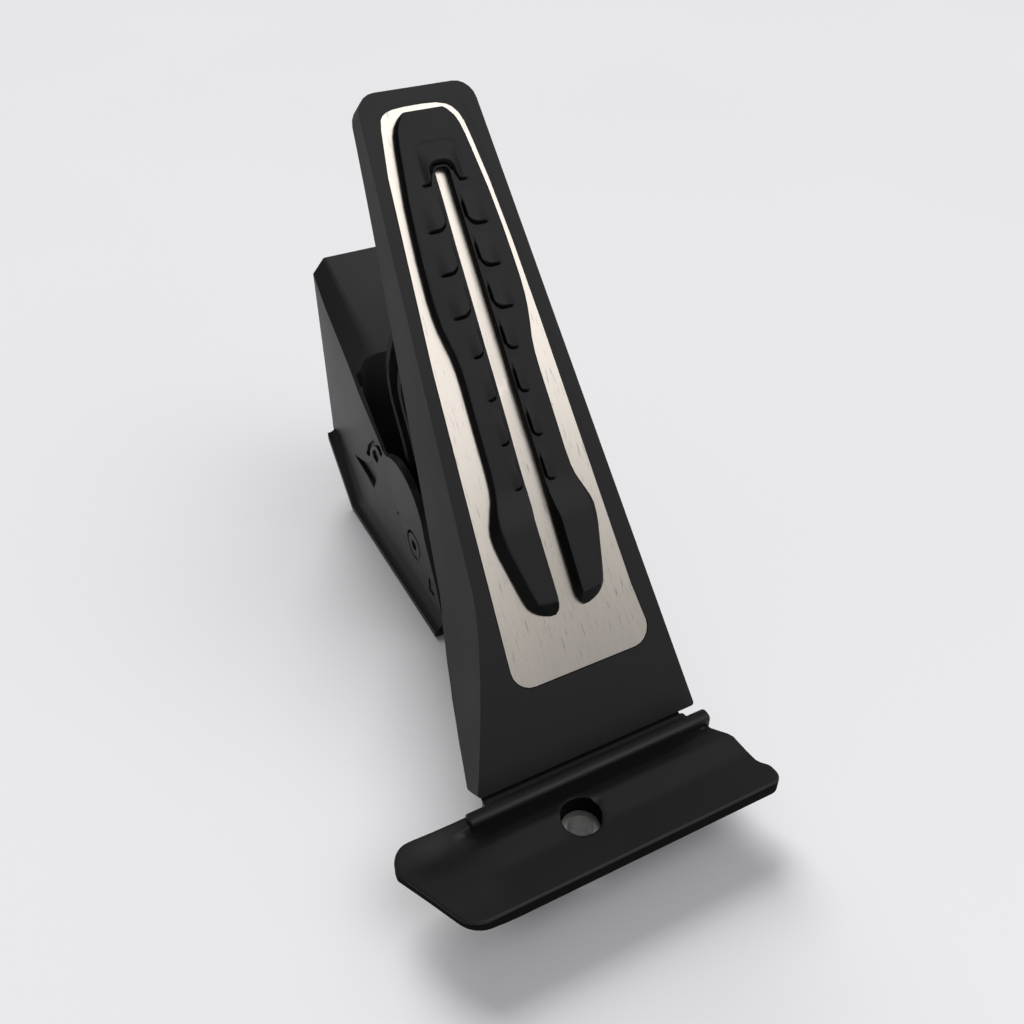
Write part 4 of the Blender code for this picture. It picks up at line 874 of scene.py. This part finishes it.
# Half width of the recess in the tread by the place along it, and its lap under the plastic
STEEL_HALF = [(22.1, 22.9), (115.2, 18.7), (187.4, 13.4)]
RECESS_LAP = 1.6
# Above this place the strip's outer side follows a rectangle of this half width and height
TOP_START, TOP_HALF_WIDTH, TOP_HEIGHT = 176.0, 15.6, 13.0
EDGE_BOTTOM, EDGE_TOP_INNER, EDGE_TOP_OUTER = -0.85, -0.05, -0.02


def make_steel_edge(material):
    """Flush plastic strip that covers the steel's right edge and rounds its top corners."""
    rings = []
    for along, x in STEEL_EDGE:
        if along > TOP_START:
            share = min(TOP_HALF_WIDTH / max(abs(x), 0.01), TOP_HEIGHT / (along - TOP_START))
            outer = (x * share, TOP_START + (along - TOP_START) * share)
        else:
            outer = (math.copysign(table_value(STEEL_HALF, along) + RECESS_LAP, x), along)
        rings.append([on_tread(x, along, EDGE_BOTTOM), on_tread(x, along, EDGE_TOP_INNER),
                      on_tread(*outer, EDGE_TOP_OUTER), on_tread(*outer, EDGE_BOTTOM)])
    piece = add_piece("steel_edge", loft(rings), material, "pedal", None, smooth_angle=30.0)


# Foot plate: corners as (x, y, radius), and heights above the floor

FOOT_CORNERS = [(-71.2, -3.9, 6.8), (-71.1, -11.7, 2.0), (-60.0, -33.8, 8.0), (37.4, -34.5, 3.6),
                (37.0, -28.3, 2.6), (34.6, -25.4, 2.0), (33.6, -15.3, 2.5), (29.0, -8.6, 1.0),
                (25.0, -4.8, 0.3), (24.9, -2.0, 0.3), (-41.9, -2.0, 0.3), (-42.1, -4.8, 0.6)]
FOOT_BOTTOM, FOOT_LEFT_RISE, FOOT_RISE_SPAN = 15.8, 2.5, (46.0, 68.0)
FOOT_REAR, FOOT_CREST, FOOT_VALLEY = 22.6, 21.0, 19.8
FOOT_RIM = 0.9
# Distances in front of the hinge line: the hollow's rear wall, the crest and the valley line
HOLLOW_WALL, HOLLOW_REAR, CREST_LINE, VALLEY_LINE = 7.9, 9.0, 14.5, 22.5
HOLLOW_DEPTH, HOLLOW_FADE = 1.85, (12.0, 27.0)
FRONT_FALL, FRONT_RISE = 0.15, 0.062
# Ramp left of the bead: where it begins, its span, and the drop at its front
RAMP_BORDER, RAMP_SPAN = (44.0, 54.0), (3.0, 26.0)
RAMP_DROP, DROP_SPAN = 0.55, (VALLEY_LINE, 31.0)
# Lower edge at the rear, and the bolt hole's rounded edge: its width and depth
REAR_STEP, REAR_SPAN = 0.5, (-5.0, -4.0)
HOLE_EDGE, HOLE_ROUND = 0.5, 0.35
# Oval dip beside the bead's left end: half length, and half width in front and behind
DIP, DIP_DEPTH = (-58.0, -11.6), 1.9
DIP_LENGTH, DIP_FRONT, DIP_REAR = 10.5, 4.2, 6.0
# Bolt hole, the boss below it, and a nick in the hole's edge, placed from the hole's middle
BOLT, BOLT_HOLE = (-19.6, -17.95), 5.85
BOSS_WALL, BOSS_LOW = 2.2, 8.9
DRILL_LOW, DRILL_TOP = BOSS_LOW - 2.0, 30.0
NICK, NICK_WIDTH, NICK_DEPTH = (5.8, 1.6), 1.1, 0.5
# How far the boss and the bead reach into the plate
PLATE_ROOT = 1.0
BEAD_ENDS = (-48.4, 30.1)
BEAD_MIDDLE, BEAD_HALF, BEAD_TOP = -6.75, 2.15, 24.15
# Share of the bead's half width that its top rises, and how flat that top is
BEAD_RISE, BEAD_FLATNESS = 0.85, 0.7
BEAD_END_ROLL, BEAD_END_SIZE = 0.7, 0.72
# Mesh columns: places close to both ends of the plate, and beside its two notches
FOOT_COLUMNS, FOOT_END_COLUMNS = 118, (0.02, 0.12, 0.3, 0.55, 0.9, 1.4, 2.0, 2.7, 3.6)
FOOT_INSET = 0.004
FOOT_NOTCHES = [-42.2, -42.0, -41.85, 24.85, 25.0, 25.15]
# Mesh rows: places close to both edges, and the row counts in front of the bead and behind
FOOT_EDGE_ROWS = (0.08, 0.2, 0.4, 0.65, 0.95)
FRONT_ROWS, REAR_ROWS, ROWS_SPLIT = 38, 14, -8.3
# Where the plate is narrow: least depth of the rear rows, share of the front rows, and the
# width below which the edge rows draw together
REAR_LEAST, FRONT_LEAST, NARROW = 1.5, 0.3, 2.4
# Faces painted darker as shade: steep, in front of this place and not on the boss below
PAINTED_SHADE_SLOPE, PAINTED_SHADE_PLACE, BOSS_BAND = 0.35, -10.0, (6.3, 9.0)


def rounded_outline(corners, steps=8):
    """Closed outline with each corner rounded by its own radius."""
    outline = []
    for index, (x, y, radius) in enumerate(corners):
        here = Vector((x, y))
        before = (Vector(corners[index - 1][:2]) - here).normalized()
        after = (Vector(corners[(index + 1) % len(corners)][:2]) - here).normalized()
        half = before.angle(after) / 2.0
        center = here + (before + after).normalized() * (radius / math.sin(half))
        first = here + before * (radius / math.tan(half)) - center
        turn = first.angle_signed(here + after * (radius / math.tan(half)) - center)
        for angle in even_places(0.0, -turn, steps):
            outline.append(center + Matrix.Rotation(angle, 2) @ first)
    return outline


def outline_span(outline, x):
    """Lowest and highest y of a closed outline at one x."""
    found = []
    for first, second in zip(outline, outline[1:] + outline[:1]):
        if min(first.x, second.x) <= x <= max(first.x, second.x) and first.x != second.x:
            found.append(first.y + (second.y - first.y) * (x - first.x) / (second.x - first.x))
    return min(found), max(found)


def outline_distance(outline, x, y):
    """Distance from a point to the nearest side of a closed outline."""
    here = Vector((x, y))
    nearest = math.inf
    for first, second in zip(outline, outline[1:] + outline[:1]):
        way = second - first
        share = min(max((here - first).dot(way) / max(way.length_squared, 1e-9), 0.0), 1.0)
        nearest = min(nearest, (here - first - way * share).length)
    return nearest


def foot_height(x, y, rim):
    """Top of the foot plate: hollow before the bead, crest, dished front and rolled rim."""
    # Hollow in front of the bead: steep behind, an even slope up to the crest
    slope = soft_min((y + CREST_LINE) / (CREST_LINE - HOLLOW_REAR), 1.0, 0.1)
    hollow = -soft_min(-HOLLOW_DEPTH * slope, 0.0, 0.06)
    hollow *= 1.0 - 0.7 * smooth_step(x, *HOLLOW_FADE)
    # Crest falls to a valley line, then rises a little to the rolled rim
    fall = FRONT_FALL * (-y - CREST_LINE) - FOOT_CREST
    front = -soft_min(fall, FRONT_RISE * (VALLEY_LINE + y) - FOOT_VALLEY, 0.25)
    front = soft_min(front, FOOT_CREST, 0.05)
    behind = smooth_step(-y, HOLLOW_WALL, HOLLOW_REAR)
    height = FOOT_REAR - (FOOT_REAR - front + hollow) * behind
    # Left of the bead an even ramp
    ramp = FOOT_REAR - (FOOT_REAR - FOOT_CREST) * smooth_step(-y, *RAMP_SPAN)
    ramp -= RAMP_DROP * smooth_step(-y, *DROP_SPAN)
    height += (ramp - height) * smooth_step(-x, *RAMP_BORDER)
    reach = DIP_FRONT if y < DIP[1] else DIP_REAR
    height -= DIP_DEPTH * bell(x - DIP[0], DIP_LENGTH) * bell(y - DIP[1], reach)
    # Rolled rim, lower rear edge, rounded hole and the nick beside it
    if rim < FOOT_RIM:
        height -= FOOT_RIM - math.sqrt(max(FOOT_RIM ** 2 - (FOOT_RIM - rim) ** 2, 0.0))
    height -= REAR_STEP * smooth_step(y, *REAR_SPAN)
    hole = math.hypot(x - BOLT[0], y - BOLT[1]) - BOLT_HOLE
    nick = math.hypot(x - BOLT[0] - NICK[0], y - BOLT[1] - NICK[1])
    height -= HOLE_ROUND * max(1.0 - max(hole, 0.0) / HOLE_EDGE, 0.0) ** 2
    return height - NICK_DEPTH * bell(nick, NICK_WIDTH)


def foot_rows(low, high):
    """Places across the foot plate, even in front of the bead whatever lies behind it."""
    split = max(min(ROWS_SPLIT, high - REAR_LEAST), low + FRONT_LEAST * (high - low))
    scale = min((high - low) / NARROW, 1.0)
    front = even_places(low, split, FRONT_ROWS)[:-1]
    rear = even_places(split, high, REAR_ROWS)
    return (sorted(front + [low + place * scale for place in FOOT_EDGE_ROWS])
            + sorted(rear + [high - place * scale for place in FOOT_EDGE_ROWS]))


def foot_columns(left, right):
    """Places along the foot plate, closer together at both ends and beside the notches."""
    places = even_places(left, right, FOOT_COLUMNS) + FOOT_NOTCHES
    places += [left + end for end in FOOT_END_COLUMNS] + [right - end for end in FOOT_END_COLUMNS]
    return sorted(places)


def border(rows):
    """The vertices round a grid, in order."""
    return ([row[0] for row in rows] + rows[-1][1:]
            + [row[-1] for row in reversed(rows[:-1])] + rows[0][-2:0:-1])


def bead_shape():
    """Hinge bead with a slightly flattened round top and two ends that are rolled over."""
    floor = FOOT_BOTTOM + PLATE_ROOT
    crest = BEAD_TOP - BEAD_RISE * BEAD_HALF
    stations = []
    for end, side in ((BEAD_ENDS[0], 1.0), (BEAD_ENDS[1], -1.0)):
        part = [(end + side * BEAD_END_ROLL * (1.0 - math.cos(angle)),
                 BEAD_END_SIZE + (1.0 - BEAD_END_SIZE) * math.sin(angle))
                for angle in even_places(0.0, math.pi / 2.0, 5)]
        stations += part if side > 0.0 else reversed(part)
    rings = []
    for x, size in stations:
        half = BEAD_HALF * size
        ring = [(x, BEAD_MIDDLE - half, floor), (x, BEAD_MIDDLE + half, floor)]
        for angle in even_places(0.0, math.pi, 18):
            rise = BEAD_RISE * half * max(math.sin(angle), 0.0) ** BEAD_FLATNESS
            ring.append((x, BEAD_MIDDLE + half * math.cos(angle), crest + rise))
        rings.append(ring)
    return loft(rings)


def foot_slab():
    """Plate between its shaped top and a flat underside, which rises at the left end."""
    outline = rounded_outline(FOOT_CORNERS)
    xs = [point.x for point in outline]
    top, under = [], []
    for x in foot_columns(min(xs) + FOOT_INSET, max(xs) - FOOT_INSET):
        low, high = outline_span(outline, x)
        ys = foot_rows(low, high)
        rims = [outline_distance(outline, x, y) if low < y < high else 0.0 for y in ys]
        bottom = FOOT_BOTTOM + FOOT_LEFT_RISE * smooth_step(-x, *FOOT_RISE_SPAN)
        top.append([(x, y, foot_height(x, y, rim)) for y, rim in zip(ys, rims)])
        under.append([(x, y, bottom) for y in ys])
    shape = bmesh.new()
    sheets = [vertex_rows(shape, rows) for rows in (top, under)]
    for rows in sheets:
        skin_rows(shape, rows, closed=False)
    skin_rows(shape, [border(rows) for rows in sheets], closed=True)
    return shape


def make_foot(material, painted_shade_material):
    """Foot plate with its bead and bolt boss, and painted shade, a darker and duller material, on
    the plate's rolled edges, front walls and bolt hole.
    """
    foot = add_piece("foot_plate_moulded", foot_slab(), material, "module", "foot_plate")
    boolean(foot, bead_shape(), "UNION")
    boolean(foot, disc(BOLT, BOLT_HOLE + BOSS_WALL, BOSS_LOW, FOOT_BOTTOM + PLATE_ROOT), "UNION")
    boolean(foot, disc(BOLT, BOLT_HOLE, DRILL_LOW, DRILL_TOP), "DIFFERENCE")
    smooth_faces(foot, 42.0)
    # Painted shade: the darker material goes on steep faces at the front and in the bolt hole.
    foot.data.materials.append(painted_shade_material)
    for face in foot.data.polygons:
        place = face.center / MM
        on_boss = BOSS_BAND[0] < (place.xy - Vector(BOLT)).length < BOSS_BAND[1]
        if face.normal.z < PAINTED_SHADE_SLOPE and place.y < PAINTED_SHADE_PLACE and not on_boss:
            face.material_index = 1


# Film hinge: section of the web as (y, z) points, and its two ends

WEB_SECTION = [(-2.0, 21.3), (-1.7, 20.9), (-1.3, 20.65), (-0.9, 20.7), (-0.4, 20.95),
               (-0.4, 20.3), (-0.9, 20.0), (-1.3, 19.95), (-1.8, 20.1), (-2.0, 20.4)]
WEB_LEFT, WEB_RIGHT, WEB_STEPS = -41.4, 24.4, 24


def make_film_hinge(material):
    """Bending web on the hinge line, as a rolled skin from the foot plate to the tread."""
    rings = [[(x, y, z) for y, z in WEB_SECTION]
             for x in even_places(WEB_LEFT, WEB_RIGHT, WEB_STEPS)]
    piece = add_piece("film_hinge_web", loft(rings), material, None, "film_hinge",
                      smooth_angle=50.0)
    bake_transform(piece)


def main():
    bpy.context.scene.view_settings.view_transform = "Standard"
    make_camera()
    make_world()
    make_back_light()
    make_floor()
    materials = make_materials()
    dress_nodes(materials)
    make_tread(materials["nylon"], materials["side"])
    make_foot(materials["foot"], materials["rim"])
    make_housing(materials["housing"])
    make_cap(materials["housing"])
    make_window_clip(materials["housing"])
    make_lever(materials["lever"])
    make_grip(materials["rubber"])
    make_steel_edge(materials["nylon"])
    # The hinge web takes the same darker material: painted shade in the gap at the hinge.
    make_film_hinge(materials["rim"])


main()
